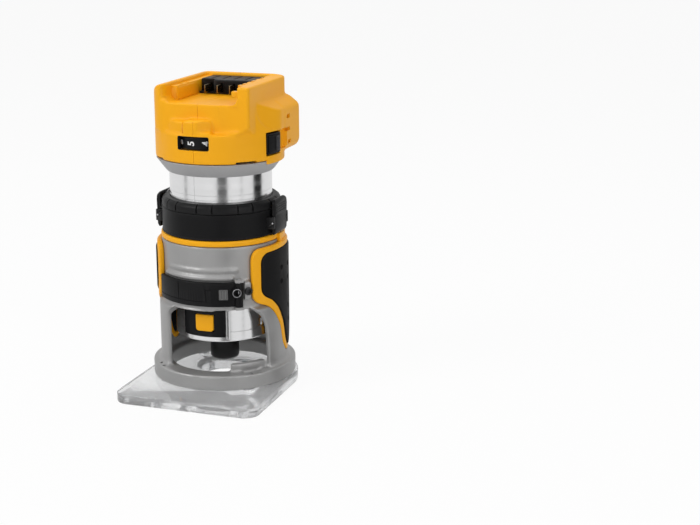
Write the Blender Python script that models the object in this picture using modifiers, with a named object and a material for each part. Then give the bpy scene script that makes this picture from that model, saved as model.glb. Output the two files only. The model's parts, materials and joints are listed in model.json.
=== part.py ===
"""Compact cordless trim router in its fixed base, modelled in metres with +Z up."""
import bpy
import bmesh
from math import cos, pi, radians, sin, sqrt
from mathutils import Matrix, Vector

# Fits
GAP = 0.0003            # between pieces that sit on each other
WALL = 0.0032           # moulded shell wall

# Sub-base plate
PLATE_HALF = 0.05084    # half width, and the radius of the round rear end
PLATE_FRONT = 0.07233   # spindle axis to the straight front edge
PLATE_THICK = 0.00655
PLATE_CORNER = 0.010
BIT_HOLE_R = 0.0165

# Fixed base casting
FLANGE_R = 0.04907
FLANGE_TOP = 0.017
CHAMBER_R = 0.0367      # the flange's opening
LEG_PROUD = 0.00275     # legs beyond the sleeve
LEG_WALL = 0.0030
SHOULDER_Z = 0.060
SLEEVE_R = 0.0410
SLEEVE_TOP = 0.1034
WINDOW_LEFT = -126.5    # degrees about the spindle, -90 is the front
WINDOW_RIGHT = -23.4
WINDOW_TOP = 0.0595
SUB_SCREW_RING = 0.0430
SUB_SCREW_R = 0.0021
SUB_SCREW_HEAD_R = 0.0038

# Side frames and grips
GRIP_CENTRE = 10.0      # degrees from the tool's side
FRAME_PROUD = 0.0033    # yellow frames beyond the sleeve
GRIP_PROUD = 0.0042
TRIM_RING_H = 0.0036
GRIP_POCKET = 0.0004    # how deep the frames sit in the sleeve
GRIP_OUTER = [(0, 0.0224), (4, 0.0235), (11.3, 0.0303), (16, 0.044), (25, 0.0543), (33, 0.060),
              (47, 0.064), (51, 0.069), (51, SLEEVE_TOP - 0.0074), (46, SLEEVE_TOP - 0.0024),
              (0, SLEEVE_TOP - 0.0012)]
GRIP_INNER = [(0, 0.0260), (3, 0.0275), (7, 0.0330), (11.5, 0.0455), (20, 0.0570), (29, 0.0640),
              (38, 0.0675), (42, 0.0715), (42, SLEEVE_TOP - 0.0099), (37, SLEEVE_TOP - 0.0059),
              (0, SLEEVE_TOP - 0.0049)]
BRIDGE_HALF = 12.0      # degrees, where a frame joins the top ring

# Clamp lever
LEVER_START = -54.0
LEVER_END = -139.0
LEVER_LOW = 0.0636
LEVER_HIGH = 0.0800
LEVER_THICK = 0.0026
LEVER_PIVOT_DEG = -53.0
LEVER_KNUCKLE_R = 0.0026
LEVER_PIN_R = 0.0012
EAR_THICK = 0.0018
EAR_HALF = 3.6          # degrees
EAR_PROUD = 0.0018
CLAMP_BOLT_DEG = -45.0
CLAMP_BOLT_R = 0.0020
BOSS_HALF = 3.1         # degrees

# Release collar, depth ring and tabs
COLLAR_STEP = 0.0006    # collar behind the sleeve's surface
COLLAR_H = 0.0172
RING_STEP = 0.0010      # depth ring behind the sleeve's surface
RING_H = 0.0064
RING_TAPER = 0.0025
RING_NOTCHES = 16
TAB_HALF = 0.0105
TAB_THICK = 0.0022
TAB_CLEAR = 0.0005      # tab to collar
TAB_RISE = 0.0152       # the tab's top over its pin
TAB_PIN_R = 0.0006
TAB_EAR_W = 0.0022

# Motor unit
CAN_R = 0.0345
CAN_WALL = 0.0025
CAN_LOW = 0.0583
CAN_TOP = 0.1550
NOSE_R = 0.0329
NOSE_LOW = 0.0360
NOSE_MOUTH_R = 0.0130
PANEL_HALF = 0.0157
PANEL_LOW = 0.0396
PANEL_THICK = 0.0030
BUTTON_HALF = 0.0063
BUTTON_LOW = 0.0433
BUTTON_TOP = 0.0548
BUTTON_TRAVEL = 0.0030
BUTTON_PROUD = 0.0016
PLUNGER_R = 0.0016
PLUNGER_RISE = 0.0095   # over the nose's lower face
LENS_R = 0.0025
LENS_RING = 0.0225

# Spindle train
SHAFT_R = 0.0040
NUT_R = 0.0100
NUT_LOW = 0.0155
NUT_H = 0.0200
COLLET_BORE_R = 0.0032
COLLET_LOW = 0.0015      # over the nut's lower face
COLLET_H = 0.0220
COLLET_WALL = 0.0015
SEAT_RISE = 0.0085       # the nut's inner seat over its lower face
NUT_WALL = 0.0034
BEARING_R = 0.0110
BEARING_H = 0.0070
LOWER_BEARING_Z = 0.0500
STATOR_OUT_R = 0.0317
STATOR_IN_R = 0.0210
STATOR_LOW = 0.0780
STATOR_H = 0.0480
WINDING_H = 0.0075
FAN_R = 0.0290
FAN_H = 0.0080
FAN_BLADES = 9

# Head
CONE_LOW = 0.1493
CONE_LOW_R = 0.03606
BAND_LOW = 0.1586
BAND_R = 0.0430
LEDGE_Z = 0.1780
HEAD_HALF = 0.0355
HEAD_FRONT = 0.0350
HEAD_REAR = 0.0400
HEAD_TOP = 0.2087
HEAD_CORNER = 0.0130
HEAD_CRISP = 0.0015     # the sharp front right corner
CROWN_IN = 0.0120       # how far the left wall's top is rounded over
CROWN_DROP = 0.0110
SHOULDER_X = 0.0428     # foot of the hollow shoulder on each side
SHOULDER_FOOT = 0.1790
SHOULDER_TOP = 0.1953
SHOULDER_FRONT = 0.0310
BULGE_X = 0.0446
BULGE_FRONT = 0.0040
BULGE_REAR = 0.0350
BULGE_LOW = 0.1610
BULGE_TOP = 0.1965
BULGE_SLOPE = 0.0060
SLOT_LEFT = 0.0244
SLOT_RIGHT = 0.0270
SLOT_FLOOR = 0.1968
SLOT_REAR = 0.0360
RAIL_W = 0.0044
RAIL_TOP = 0.2045
RAIL_H = 0.0030
RAIL_FRONT = -0.0220
FLOOR_THICK = 0.0030
ROOM_LAP = 0.0010       # the upper room reaches this far into the band's
HEAD_SCREWS = [(-0.018, 0.182), (0.006, 0.1655), (0.030, 0.1665), (0.033, 0.184)]
HEAD_SCREW_R = 0.0013
HEAD_SCREW_HEAD_R = 0.0022
HEAD_SCREW_SEAT = 0.0240   # the screw heads' seats, left of the seam
HEAD_SCREW_REACH = 0.0090
HEAD_BOSS_R = 0.0034

# Controls and terminals
DIAL_R = 0.0145
DIAL_LOW = 0.1684
DIAL_H = 0.0078
DIAL_REVEAL = 0.0006    # the wheel's front, behind the head's surface
DIAL_LEFT = -105.6
DIAL_RIGHT = -76.5
DIAL_POST_R = 0.0016
SENSOR_R = 0.0050
SWITCH_DEG = -11.0
SWITCH_HALF_DEG = 9.0
SWITCH_LOW = 0.1640
SWITCH_TOP = 0.1750
SWITCH_R = 0.0442
BEZEL_RIM = 0.0012
BEZEL_SIDE = 1.6         # degrees of frame on each side of the rocker
SWITCH_PLAY = 0.8        # degrees
TERMINAL_FRONT = 0.0120
TERMINAL_TOP = 0.2066
BLADE_COUNT = 4
BLADE_PITCH = 0.0090
BLADE_THICK = 0.0008
BLADE_LEN = 0.0075
BLADE_H = 0.0055
BLADE_RISE = 0.0015      # over the slot's floor
BOARD_HALF = 0.0230
BOARD_FRONT = 0.0120
BOARD_REAR = 0.0260
BOARD_THICK = 0.0050

# The plate's middle is the model's origin, so the spindle stands behind it
SPINDLE_Y = (PLATE_FRONT - PLATE_HALF) / 2

STEPS = 36              # facets round the large turned pieces
FINE = 20               # facets round the small ones
WRAP_STEP = radians(360 / STEPS)

YELLOW = ("yellow_plastic", (0.93, 0.62, 0.05), 0.45, 0.0)
BLACK = ("black_plastic", (0.03, 0.03, 0.03), 0.55, 0.0)
RUBBER = ("grip_rubber", (0.02, 0.02, 0.02), 0.8, 0.0)
CAST = ("cast_aluminium", (0.50, 0.50, 0.51), 0.5, 0.6)
BRIGHT = ("turned_aluminium", (0.86, 0.86, 0.87), 0.22, 1.0)
CLEAR = ("clear_acrylic", (0.92, 0.94, 0.95), 0.05, 0.0)
STEEL = ("zinc_steel", (0.62, 0.62, 0.64), 0.3, 1.0)
OXIDE = ("black_steel", (0.03, 0.03, 0.03), 0.4, 0.8)
GREY = ("grey_plastic", (0.42, 0.42, 0.43), 0.5, 0.0)
COPPER = ("copper_winding", (0.72, 0.33, 0.14), 0.4, 0.9)
BOARD = ("potted_board", (0.04, 0.14, 0.07), 0.5, 0.0)
LENS = ("lens_clear", (0.95, 0.95, 0.90), 0.1, 0.0)
BRASS = ("contact_brass", (0.80, 0.62, 0.28), 0.3, 1.0)

for old in list(bpy.data.objects):
    bpy.data.objects.remove(old, do_unlink=True)

parts = bpy.data.collections.new("trim_router")
cutters = bpy.data.collections.new("trim_router_cutters")
bpy.context.scene.collection.children.link(parts)
bpy.context.scene.collection.children.link(cutters)

axis_empty = bpy.data.objects.new("spindle_axis", None)
axis_empty.location = (0, SPINDLE_Y, 0)
parts.objects.link(axis_empty)


def material(spec):
    """The material for a finish, made once and shared."""
    name, colour, roughness, metallic = spec
    found = bpy.data.materials.get(name)
    if found:
        return found
    made = bpy.data.materials.new(name)
    made.use_nodes = True
    shader = made.node_tree.nodes["Principled BSDF"]
    shader.inputs["Base Color"].default_value = (*colour, 1)
    shader.inputs["Roughness"].default_value = roughness
    shader.inputs["Metallic"].default_value = metallic
    return made


def place(name, mesh, finish, parent=None):
    """Link a mesh as a part, or as a cutter when it has no finish."""
    made = bpy.data.objects.new(name, mesh)
    if finish:
        parts.objects.link(made)
        made.data.materials.append(material(finish))
    else:
        cutters.objects.link(made)
        made.hide_render = True
        made.display_type = "WIRE"
    made.parent = parent or axis_empty
    return made


def smooth(obj):
    """Shade a round piece smooth, with its edges kept sharp."""
    obj.data.shade_smooth()
    obj.data.set_sharp_from_angle(angle=radians(35))


def finish_mesh(name, bm, finish, parent=None):
    bmesh.ops.recalc_face_normals(bm, faces=bm.faces)
    mesh = bpy.data.meshes.new(name)
    bm.to_mesh(mesh)
    bm.free()
    return place(name, mesh, finish, parent)


def block(name, low, high, finish=None, parent=None):
    """A box between two corners."""
    bm = bmesh.new()
    bmesh.ops.create_cube(bm, size=1)
    size = Vector(high) - Vector(low)
    middle = (Vector(high) + Vector(low)) / 2
    bmesh.ops.scale(bm, vec=size, verts=bm.verts)
    bmesh.ops.translate(bm, vec=middle, verts=bm.verts)
    return finish_mesh(name, bm, finish, parent)


def rod(name, radius, start, end, finish=None, steps=FINE, parent=None):
    """A straight round bar between two points."""
    bm = bmesh.new()
    along = Vector(end) - Vector(start)
    bmesh.ops.create_cone(bm, cap_ends=True, segments=steps, radius1=radius, radius2=radius,
                          depth=along.length)
    turn = along.to_track_quat("Z", "Y").to_matrix().to_4x4()
    middle = (Vector(start) + Vector(end)) / 2
    bmesh.ops.transform(bm, matrix=Matrix.Translation(middle) @ turn, verts=bm.verts)
    return finish_mesh(name, bm, finish, parent)


def turned(name, profile, finish=None, closed=True, steps=STEPS, parent=None):
    """A profile of (radius, height) points, outer side downwards, turned about the spindle."""
    bm = bmesh.new()
    points = [bm.verts.new((radius, 0, height)) for radius, height in profile]
    for first, second in zip(points, points[1:]):
        bm.edges.new((first, second))
    if closed:
        bm.edges.new((points[-1], points[0]))
    mesh = bpy.data.meshes.new(name)
    bm.to_mesh(mesh)
    bm.free()
    made = place(name, mesh, finish, parent)
    screw = made.modifiers.new("turn", "SCREW")
    screw.steps = steps
    screw.render_steps = steps
    screw.use_merge_vertices = True
    screw.merge_threshold = 0.00001
    screw.use_smooth_shade = True
    return made


def ring(name, outer, inner, low, high, finish=None, steps=STEPS, parent=None):
    """A plain ring, or a disc when it has no inner radius."""
    if inner:
        return turned(name, [(outer, high), (outer, low), (inner, low), (inner, high)],
                      finish, True, steps, parent)
    return turned(name, [(0, high), (outer, high), (outer, low), (0, low)],
                  finish, False, steps, parent)


def softened(points, radius, steps=2):
    """A closed outline in metres with each corner rounded off."""
    out = []
    count = len(points)
    for i, corner in enumerate(points):
        here = Vector(corner)
        before = Vector(points[i - 1]) - here
        after = Vector(points[(i + 1) % count]) - here
        start = here + before.normalized() * min(radius, before.length * 0.48)
        end = here + after.normalized() * min(radius, after.length * 0.48)
        for k in range(steps + 1):
            t = k / steps
            out.append(start * (1 - t) ** 2 + here * 2 * t * (1 - t) + end * t ** 2)
    return out


def wrapped(name, outline, radius_in, radius_out, finish=None, corner=0.0, bend_at=0.5):
    """An outline of (degrees, height) points wrapped round the spindle between two radii."""
    flat = [(radians(turn) * radius_out, height) for turn, height in outline]
    if corner:
        flat = softened(flat, corner)
    bm = bmesh.new()
    points = [bm.verts.new((x / radius_out, z, 0)) for x, z in flat]
    bm.faces.new(points)
    low = min(p.co.x for p in points)
    high = max(p.co.x for p in points)
    bm.normal_update()
    bmesh.ops.triangulate(bm, faces=bm.faces)
    cut_at = (low // WRAP_STEP + bend_at) * WRAP_STEP
    if cut_at < low + 0.0001:
        cut_at += WRAP_STEP
    while cut_at < high - 0.0001:
        bmesh.ops.bisect_plane(bm, geom=bm.verts[:] + bm.edges[:] + bm.faces[:],
                               plane_co=(cut_at, 0, 0), plane_no=(1, 0, 0))
        cut_at += WRAP_STEP
    bmesh.ops.remove_doubles(bm, verts=bm.verts, dist=0.000001)
    bmesh.ops.dissolve_limit(bm, angle_limit=0.001, verts=bm.verts,
                             edges=[e for e in bm.edges if not on_bend(e, bend_at)])
    bm.normal_update()
    bmesh.ops.triangulate(bm, faces=bm.faces)
    extruded = bmesh.ops.extrude_face_region(bm, geom=bm.faces[:])["geom"]
    for item in extruded:
        if isinstance(item, bmesh.types.BMVert):
            item.co.z = 1
    for vert in bm.verts:
        radius = radius_out if vert.co.z > 0.5 else radius_in
        angle, height = vert.co.x, vert.co.y
        vert.co = (radius * cos(angle), radius * sin(angle), height)
    return finish_mesh(name, bm, finish)


def on_bend(edge, bend_at):
    """Whether a flat edge lies on one of the lines that a wrapped piece bends at."""
    first, second = (v.co.x for v in edge.verts)
    steps = first / WRAP_STEP - bend_at
    return abs(first - second) < 1e-6 and abs(steps - round(steps)) < 1e-3


def prism(name, outline, low, high, finish=None, parent=None):
    """A flat outline of (x, y) points made solid between two heights."""
    bm = bmesh.new()
    face = bm.faces.new([bm.verts.new((x, y, low)) for x, y in outline])
    moved = bmesh.ops.extrude_face_region(bm, geom=[face])["geom"]
    bmesh.ops.translate(bm, vec=(0, 0, high - low),
                        verts=[v for v in moved if isinstance(v, bmesh.types.BMVert)])
    return finish_mesh(name, bm, finish, parent)


def boolean(obj, other, operation="DIFFERENCE"):
    modifier = obj.modifiers.new(other.name, "BOOLEAN")
    modifier.operation = operation
    modifier.object = other
    modifier.solver = "EXACT"
    return obj


def bevel(obj, width, segments=2, angle=40):
    modifier = obj.modifiers.new("edges", "BEVEL")
    modifier.width = width
    modifier.segments = segments
    modifier.limit_method = "ANGLE"
    modifier.angle_limit = radians(angle)
    return obj


def at(radius, turn, height):
    """A point at a radius, an angle in degrees and a height."""
    return (radius * cos(radians(turn)), radius * sin(radians(turn)), height)


def inset(outline, radius, width):
    """A wrapped outline of (degrees, height) points moved inwards by a width."""
    flat = [Vector((radians(turn) * radius, height)) for turn, height in outline]
    area = sum(a.cross(b) for a, b in zip(flat, flat[1:] + flat[:1]))
    side = 1 if area > 0 else -1
    moved = []
    for i, here in enumerate(flat):
        before = (here - flat[i - 1]).normalized()
        after = (flat[(i + 1) % len(flat)] - here).normalized()
        normals = [Vector((-d.y, d.x)) * side for d in (before, after)]
        shift = (normals[0] + normals[1]) * width / (1 + normals[0].dot(normals[1]))
        moved.append(((here.x + shift.x) / radians(radius), here.y + shift.y))
    return moved


def mirrored_outline(half, side):
    """The grip outline of one side, from the points of its front half."""
    front = [(GRIP_CENTRE - turn, height) for turn, height in half]
    rear = [(GRIP_CENTRE + turn, height) for turn, height in reversed(half[1:-1])]
    whole = front + rear
    if side > 0:
        return whole
    return [(180 - turn, height) for turn, height in whole]


def box_outline(left, right, low, high):
    return [(left, low), (right, low), (right, high), (left, high)]


# Levels and fits that follow from the driving sizes
leg_r = SLEEVE_R + LEG_PROUD
frame_r = SLEEVE_R + FRAME_PROUD
grip_r = SLEEVE_R + GRIP_PROUD
collar_r = SLEEVE_R - COLLAR_STEP
ring_r = SLEEVE_R - RING_STEP
bore_r = CAN_R + GAP
flange_low = PLATE_THICK + GAP
pocket_r = SLEEVE_R - GRIP_POCKET
trim_low = SLEEVE_TOP + GAP
collar_low = trim_low + TRIM_RING_H + GAP
ring_low = collar_low + COLLAR_H + GAP
screw_turns = [45 + 90 * i for i in range(4)]
pivot_r = SLEEVE_R + GAP + LEVER_KNUCKLE_R + 0.0004
tab_x = collar_r + TAB_CLEAR + TAB_THICK / 2
tab_z = collar_low + COLLAR_H / 2
tab_low = trim_low + TRIM_RING_H + 0.0005
bridge_low = GRIP_OUTER[-1][1] - 0.0022
dial_y = -(BAND_R - DIAL_REVEAL - DIAL_R)
slot_under = SLOT_FLOOR - FLOOR_THICK
deck_low = CAN_TOP + GAP
deck_top = BAND_LOW - GAP


def plate_outline():
    """The D shape: a round rear and a square front with rounded corners."""
    rear = [(PLATE_HALF * cos(radians(a)), PLATE_HALF * sin(radians(a))) for a in range(0, 181, 6)]
    left, right = -PLATE_HALF, PLATE_HALF
    inner = PLATE_FRONT - PLATE_CORNER
    left_corner = [(left + PLATE_CORNER * (1 - cos(radians(a))), -inner - PLATE_CORNER * sin(radians(a)))
                   for a in range(0, 91, 15)]
    right_corner = [(right - PLATE_CORNER * (1 - sin(radians(a))), -inner - PLATE_CORNER * cos(radians(a)))
                    for a in range(0, 91, 15)]
    return rear + left_corner + right_corner


def make_sub_base():
    plate = prism("sub_base", plate_outline(), 0, PLATE_THICK, CLEAR)
    boolean(plate, rod("bit_hole_cut", BIT_HOLE_R, (0, 0, -0.01), (0, 0, 0.02), steps=STEPS))
    for i, turn in enumerate(screw_turns):
        place_xy = at(SUB_SCREW_RING, turn, -0.01)
        boolean(plate, rod(f"plate_hole_cut_{i}", SUB_SCREW_R + GAP, place_xy,
                           at(SUB_SCREW_RING, turn, 0.02), steps=16))
        boolean(plate, rod(f"plate_sink_cut_{i}", SUB_SCREW_HEAD_R + GAP, place_xy,
                           at(SUB_SCREW_RING, turn, PLATE_THICK / 2), steps=16))


def make_sub_base_screws():
    head_low = 0.0008
    head_high = PLATE_THICK / 2 - GAP
    for i, turn in enumerate(screw_turns):
        x, y, _ = at(SUB_SCREW_RING, turn, 0)
        holder = bpy.data.objects.new(f"sub_base_screw_place_{i + 1}", None)
        holder.parent = axis_empty
        holder.location = (x, y, 0)
        parts.objects.link(holder)
        turned(f"sub_base_screw_{i + 1}",
               [(0, FLANGE_TOP - 0.003), (SUB_SCREW_R, FLANGE_TOP - 0.003), (SUB_SCREW_R, head_high),
                (SUB_SCREW_HEAD_R, head_high), (SUB_SCREW_HEAD_R, head_low), (0, head_low)],
               STEEL, False, 16, holder)


def make_base_casting():
    casting = turned("base_casting", [
        (SLEEVE_R, SLEEVE_TOP), (SLEEVE_R, SHOULDER_Z), (leg_r, SHOULDER_Z - 0.0015),
        (leg_r, FLANGE_TOP), (FLANGE_R, FLANGE_TOP), (FLANGE_R, flange_low),
        (CHAMBER_R, flange_low), (CHAMBER_R, FLANGE_TOP), (leg_r - LEG_WALL, FLANGE_TOP),
        (leg_r - LEG_WALL, WINDOW_TOP - 0.006), (bore_r, WINDOW_TOP - 0.002),
        (bore_r, SLEEVE_TOP)], CAST)
    boss = box_outline(CLAMP_BOLT_DEG - BOSS_HALF, CLAMP_BOLT_DEG + BOSS_HALF,
                       LEVER_LOW + 0.004, LEVER_HIGH)
    boolean(casting, wrapped("boss_add", boss, SLEEVE_R - 0.001, pivot_r, corner=0.001), "UNION")
    for name, low in (("low", LEVER_LOW - GAP - EAR_THICK), ("high", LEVER_HIGH + GAP)):
        ear = box_outline(LEVER_PIVOT_DEG - EAR_HALF, LEVER_PIVOT_DEG + EAR_HALF, low, low + EAR_THICK)
        boolean(casting, wrapped(f"ear_{name}_add", ear, SLEEVE_R - 0.001, pivot_r + EAR_PROUD),
                "UNION")
    boolean(casting, rod("ear_pin_cut", LEVER_PIN_R + GAP,
                         at(pivot_r, LEVER_PIVOT_DEG, LEVER_LOW - 0.01),
                         at(pivot_r, LEVER_PIVOT_DEG, LEVER_HIGH + 0.01), steps=16))
    bolt_z = (LEVER_LOW + LEVER_HIGH) / 2 + 0.002
    boolean(casting, rod("bolt_cut", CLAMP_BOLT_R + GAP, at(SLEEVE_R - 0.0035, CLAMP_BOLT_DEG, bolt_z),
                         at(0.06, CLAMP_BOLT_DEG, bolt_z), steps=16))
    window = [(WINDOW_LEFT, FLANGE_TOP), (WINDOW_RIGHT, FLANGE_TOP), (WINDOW_RIGHT, 0.034),
              (WINDOW_RIGHT - 1.6, 0.045), (WINDOW_RIGHT - 6.6, 0.0545),
              (WINDOW_RIGHT - 16, WINDOW_TOP), (WINDOW_LEFT + 6, WINDOW_TOP),
              (WINDOW_LEFT, WINDOW_TOP - 0.0045)]
    boolean(casting, wrapped("window_cut", window, 0.028, 0.056))
    for side in (1, -1):
        outline = mirrored_outline(GRIP_OUTER, side)
        boolean(casting, wrapped(f"grip_pocket_cut_{side + 1}", outline, pocket_r, 0.06))
        middle = GRIP_CENTRE if side > 0 else 180 - GRIP_CENTRE
        bridge = box_outline(middle - BRIDGE_HALF - 1, middle + BRIDGE_HALF + 1, bridge_low - 0.002,
                             SLEEVE_TOP + 0.02)
        boolean(casting, wrapped(f"bridge_cut_{side + 1}", bridge, pocket_r - 0.0010, 0.06))
    for i, turn in enumerate(screw_turns):
        boolean(casting, rod(f"flange_hole_cut_{i}", SUB_SCREW_R + GAP, at(SUB_SCREW_RING, turn, 0),
                             at(SUB_SCREW_RING, turn, FLANGE_TOP - 0.0025), steps=16))


def make_lever_hardware():
    bolt_z = (LEVER_LOW + LEVER_HIGH) / 2 + 0.002
    rod("clamp_bolt", CLAMP_BOLT_R, at(SLEEVE_R - 0.0032, CLAMP_BOLT_DEG, bolt_z),
        at(pivot_r + 0.0004, CLAMP_BOLT_DEG, bolt_z), OXIDE, 16)
    rod("lever_pin", LEVER_PIN_R, at(pivot_r, LEVER_PIVOT_DEG, LEVER_LOW - GAP - EAR_THICK),
        at(pivot_r, LEVER_PIVOT_DEG, LEVER_HIGH + GAP + EAR_THICK), STEEL, 16)


def make_base_trim():
    trim = ring("base_trim", SLEEVE_R, bore_r, trim_low, trim_low + TRIM_RING_H, YELLOW)
    for side in (1, -1):
        outer = inset(mirrored_outline(GRIP_OUTER, side), SLEEVE_R, GAP)
        frame = wrapped(f"frame_add_{side + 1}", outer, pocket_r + GAP, frame_r)
        inner = mirrored_outline(GRIP_INNER, side)
        boolean(frame, wrapped(f"frame_cut_{side + 1}", inner, 0.035, 0.05, bend_at=0.2))
        middle = GRIP_CENTRE if side > 0 else 180 - GRIP_CENTRE
        bridge = box_outline(middle - BRIDGE_HALF, middle + BRIDGE_HALF, bridge_low,
                             trim_low + TRIM_RING_H - 0.0004)
        boolean(trim, wrapped(f"bridge_add_{side + 1}", bridge, pocket_r - 0.0007,
                              frame_r - 0.0015, bend_at=0.2), "UNION")
        boolean(trim, frame, "UNION")


def make_grips():
    for name, side in (("grip_right", 1), ("grip_left", -1)):
        pad = inset(mirrored_outline(GRIP_INNER, side), SLEEVE_R, GAP * 2)
        wrapped(name, pad, pocket_r + GAP, grip_r, RUBBER)


def make_release_collar():
    collar = ring("release_collar", collar_r, bore_r, collar_low, collar_low + COLLAR_H, BLACK)
    for side in (1, -1):
        for end in (1, -1):
            inner = end * (TAB_HALF + GAP)
            outer = inner + end * TAB_EAR_W
            xs = sorted((side * (collar_r - 0.0045), side * (tab_x + 0.0013)))
            ear = block(f"ear_add_{side}_{end}", (xs[0], min(inner, outer), tab_z - 0.004),
                        (xs[1], max(inner, outer), tab_z + 0.004))
            boolean(collar, ear, "UNION")
        boolean(collar, rod(f"tab_pin_cut_{side}", TAB_PIN_R + GAP, (side * tab_x, -0.02, tab_z),
                            (side * tab_x, 0.02, tab_z), steps=12))


def make_release_tabs():
    for name, side in (("right", 1), ("left", -1)):
        low = (side * tab_x - TAB_THICK / 2, -TAB_HALF, tab_low)
        high = (side * tab_x + TAB_THICK / 2, TAB_HALF, tab_z + TAB_RISE)
        tab = bevel(block(f"release_tab_{name}", low, high, BLACK), 0.0008, 1)
        boolean(tab, rod(f"tab_bore_cut_{name}", TAB_PIN_R + GAP, (side * tab_x, -0.02, tab_z),
                         (side * tab_x, 0.02, tab_z), steps=12))
        reach = TAB_HALF + GAP + TAB_EAR_W
        rod(f"release_pin_{name}", TAB_PIN_R, (side * tab_x, -reach, tab_z),
            (side * tab_x, reach, tab_z), STEEL, 12)


def make_depth_ring():
    top = ring_low + RING_H
    wheel = turned("depth_ring", [(ring_r - RING_TAPER, top), (ring_r, top - 0.002), (ring_r, ring_low),
                                  (bore_r, ring_low), (bore_r, top)], BLACK)
    bm = bmesh.new()
    for i in range(RING_NOTCHES):
        made = bmesh.ops.create_cube(bm, size=1)["verts"]
        bmesh.ops.scale(bm, vec=(0.003, 0.0012, 0.02), verts=made)
        bmesh.ops.translate(bm, vec=(ring_r + 0.0007, 0, top), verts=made)
        bmesh.ops.rotate(bm, cent=(0, 0, 0), matrix=Matrix.Rotation(2 * pi * (i + 0.5) / RING_NOTCHES,
                                                                   3, "Z"), verts=made)
    boolean(wheel, finish_mesh("notch_cut", bm, None))


def make_clamp_lever():
    lever = wrapped("clamp_lever", box_outline(LEVER_END, LEVER_START, LEVER_LOW, LEVER_HIGH),
                    SLEEVE_R + GAP, SLEEVE_R + GAP + LEVER_THICK, BLACK, corner=0.002)
    low = at(pivot_r, LEVER_PIVOT_DEG, LEVER_LOW)
    high = at(pivot_r, LEVER_PIVOT_DEG, LEVER_HIGH)
    boolean(lever, rod("knuckle_add", LEVER_KNUCKLE_R, low, high, steps=20), "UNION")
    boolean(lever, rod("knuckle_cut", LEVER_PIN_R + GAP, at(pivot_r, LEVER_PIVOT_DEG, 0.05),
                       at(pivot_r, LEVER_PIVOT_DEG, 0.09), steps=16))


def make_motor_can():
    turned("motor_can", [
        (CAN_R, CAN_TOP), (CAN_R, 0.1368), (CAN_R - 0.0003, 0.1366), (CAN_R - 0.0003, 0.1362),
        (CAN_R, 0.1360), (CAN_R, CAN_LOW), (CAN_R - CAN_WALL, CAN_LOW), (CAN_R - CAN_WALL, CAN_TOP)],
        BRIGHT)


def make_nose():
    seat_r = BEARING_R + GAP
    spigot_r = CAN_R - CAN_WALL - GAP
    step = CAN_LOW - GAP
    nose = turned("nose_housing", [
        (spigot_r, step + 0.004), (spigot_r, step), (NOSE_R, step), (NOSE_R, NOSE_LOW + 0.001),
        (NOSE_R - 0.001, NOSE_LOW), (NOSE_MOUTH_R, NOSE_LOW), (NOSE_MOUTH_R, LOWER_BEARING_Z - 0.002),
        (SHAFT_R + 0.0038, LOWER_BEARING_Z - GAP), (seat_r, LOWER_BEARING_Z - GAP),
        (seat_r, LOWER_BEARING_Z + BEARING_H), (spigot_r - 0.003, LOWER_BEARING_Z + BEARING_H),
        (spigot_r - 0.003, step + 0.004)], BRIGHT)
    boolean(nose, block("panel_cut", (-PANEL_HALF - GAP, -0.05, PANEL_LOW - GAP),
                        (PANEL_HALF + GAP, panel_back() + GAP, step + 0.02)))
    boolean(nose, block("pocket_cut", (-BUTTON_HALF - GAP, panel_back() - GAP, BUTTON_LOW - GAP),
                        (BUTTON_HALF + GAP, panel_back() + BUTTON_TRAVEL, BUTTON_TOP + GAP)))
    boolean(nose, rod("plunger_cut", PLUNGER_R + GAP, (0, -0.04, button_z()), (0, 0, button_z()),
                      steps=16))
    for i in range(3):
        boolean(nose, rod(f"lens_cut_{i}", LENS_R + GAP, at(LENS_RING, 30 + 120 * i, NOSE_LOW - 0.01),
                          at(LENS_RING, 30 + 120 * i, NOSE_LOW + 0.0024), steps=16))
        rod(f"led_lens_{i + 1}", LENS_R, at(LENS_RING, 30 + 120 * i, NOSE_LOW),
            at(LENS_RING, 30 + 120 * i, NOSE_LOW + 0.0021), LENS, 16)


def panel_back():
    """The flat that the lock panel lies on, a chord of the nose."""
    return -sqrt(NOSE_R ** 2 - PANEL_HALF ** 2) + PANEL_THICK / 2


def button_z():
    return NOSE_LOW + PLUNGER_RISE


def make_lock():
    back = panel_back()
    front = back - PANEL_THICK
    panel = block("lock_panel", (-PANEL_HALF, front, PANEL_LOW),
                  (PANEL_HALF, back, CAN_LOW - GAP), BLACK)
    boolean(panel, block("button_cut", (-BUTTON_HALF - GAP, -0.05, BUTTON_LOW - GAP),
                         (BUTTON_HALF + GAP, 0, BUTTON_TOP + GAP)))
    button = bevel(block("spindle_lock_button", (-BUTTON_HALF, front - BUTTON_PROUD, BUTTON_LOW),
                         (BUTTON_HALF, back - PANEL_THICK * 0.2, BUTTON_TOP), YELLOW), 0.0008, 1)
    boolean(button, rod("plunger_add", PLUNGER_R, (0, back - 0.002, button_z()),
                        (0, -(NUT_R + BUTTON_TRAVEL + 0.0006), button_z()), steps=12), "UNION")


def make_head_flange():
    seat_r = BEARING_R + GAP
    flange = turned("head_flange", [
        (BAND_R - GAP, deck_top), (CONE_LOW_R, CONE_LOW), (CAN_R + GAP, CONE_LOW),
        (CAN_R + GAP, deck_low), (seat_r + 0.003, deck_low), (seat_r + 0.003, deck_low - 0.004),
        (seat_r, deck_low - 0.004), (seat_r, deck_top)], GREY)


def make_head_screws():
    """Screws from the left that draw the two shells together."""
    seat = -HEAD_SCREW_SEAT
    for i, (y, z) in enumerate(HEAD_SCREWS):
        screw = rod(f"head_screw_{i + 1}", HEAD_SCREW_R, (seat - 0.001, y, z), (HEAD_SCREW_REACH, y, z),
                    STEEL, 12)
        boolean(screw, rod(f"screw_head_add_{i}", HEAD_SCREW_HEAD_R, (seat - GAP - 0.0016, y, z),
                           (seat - GAP, y, z), steps=16), "UNION")


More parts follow.
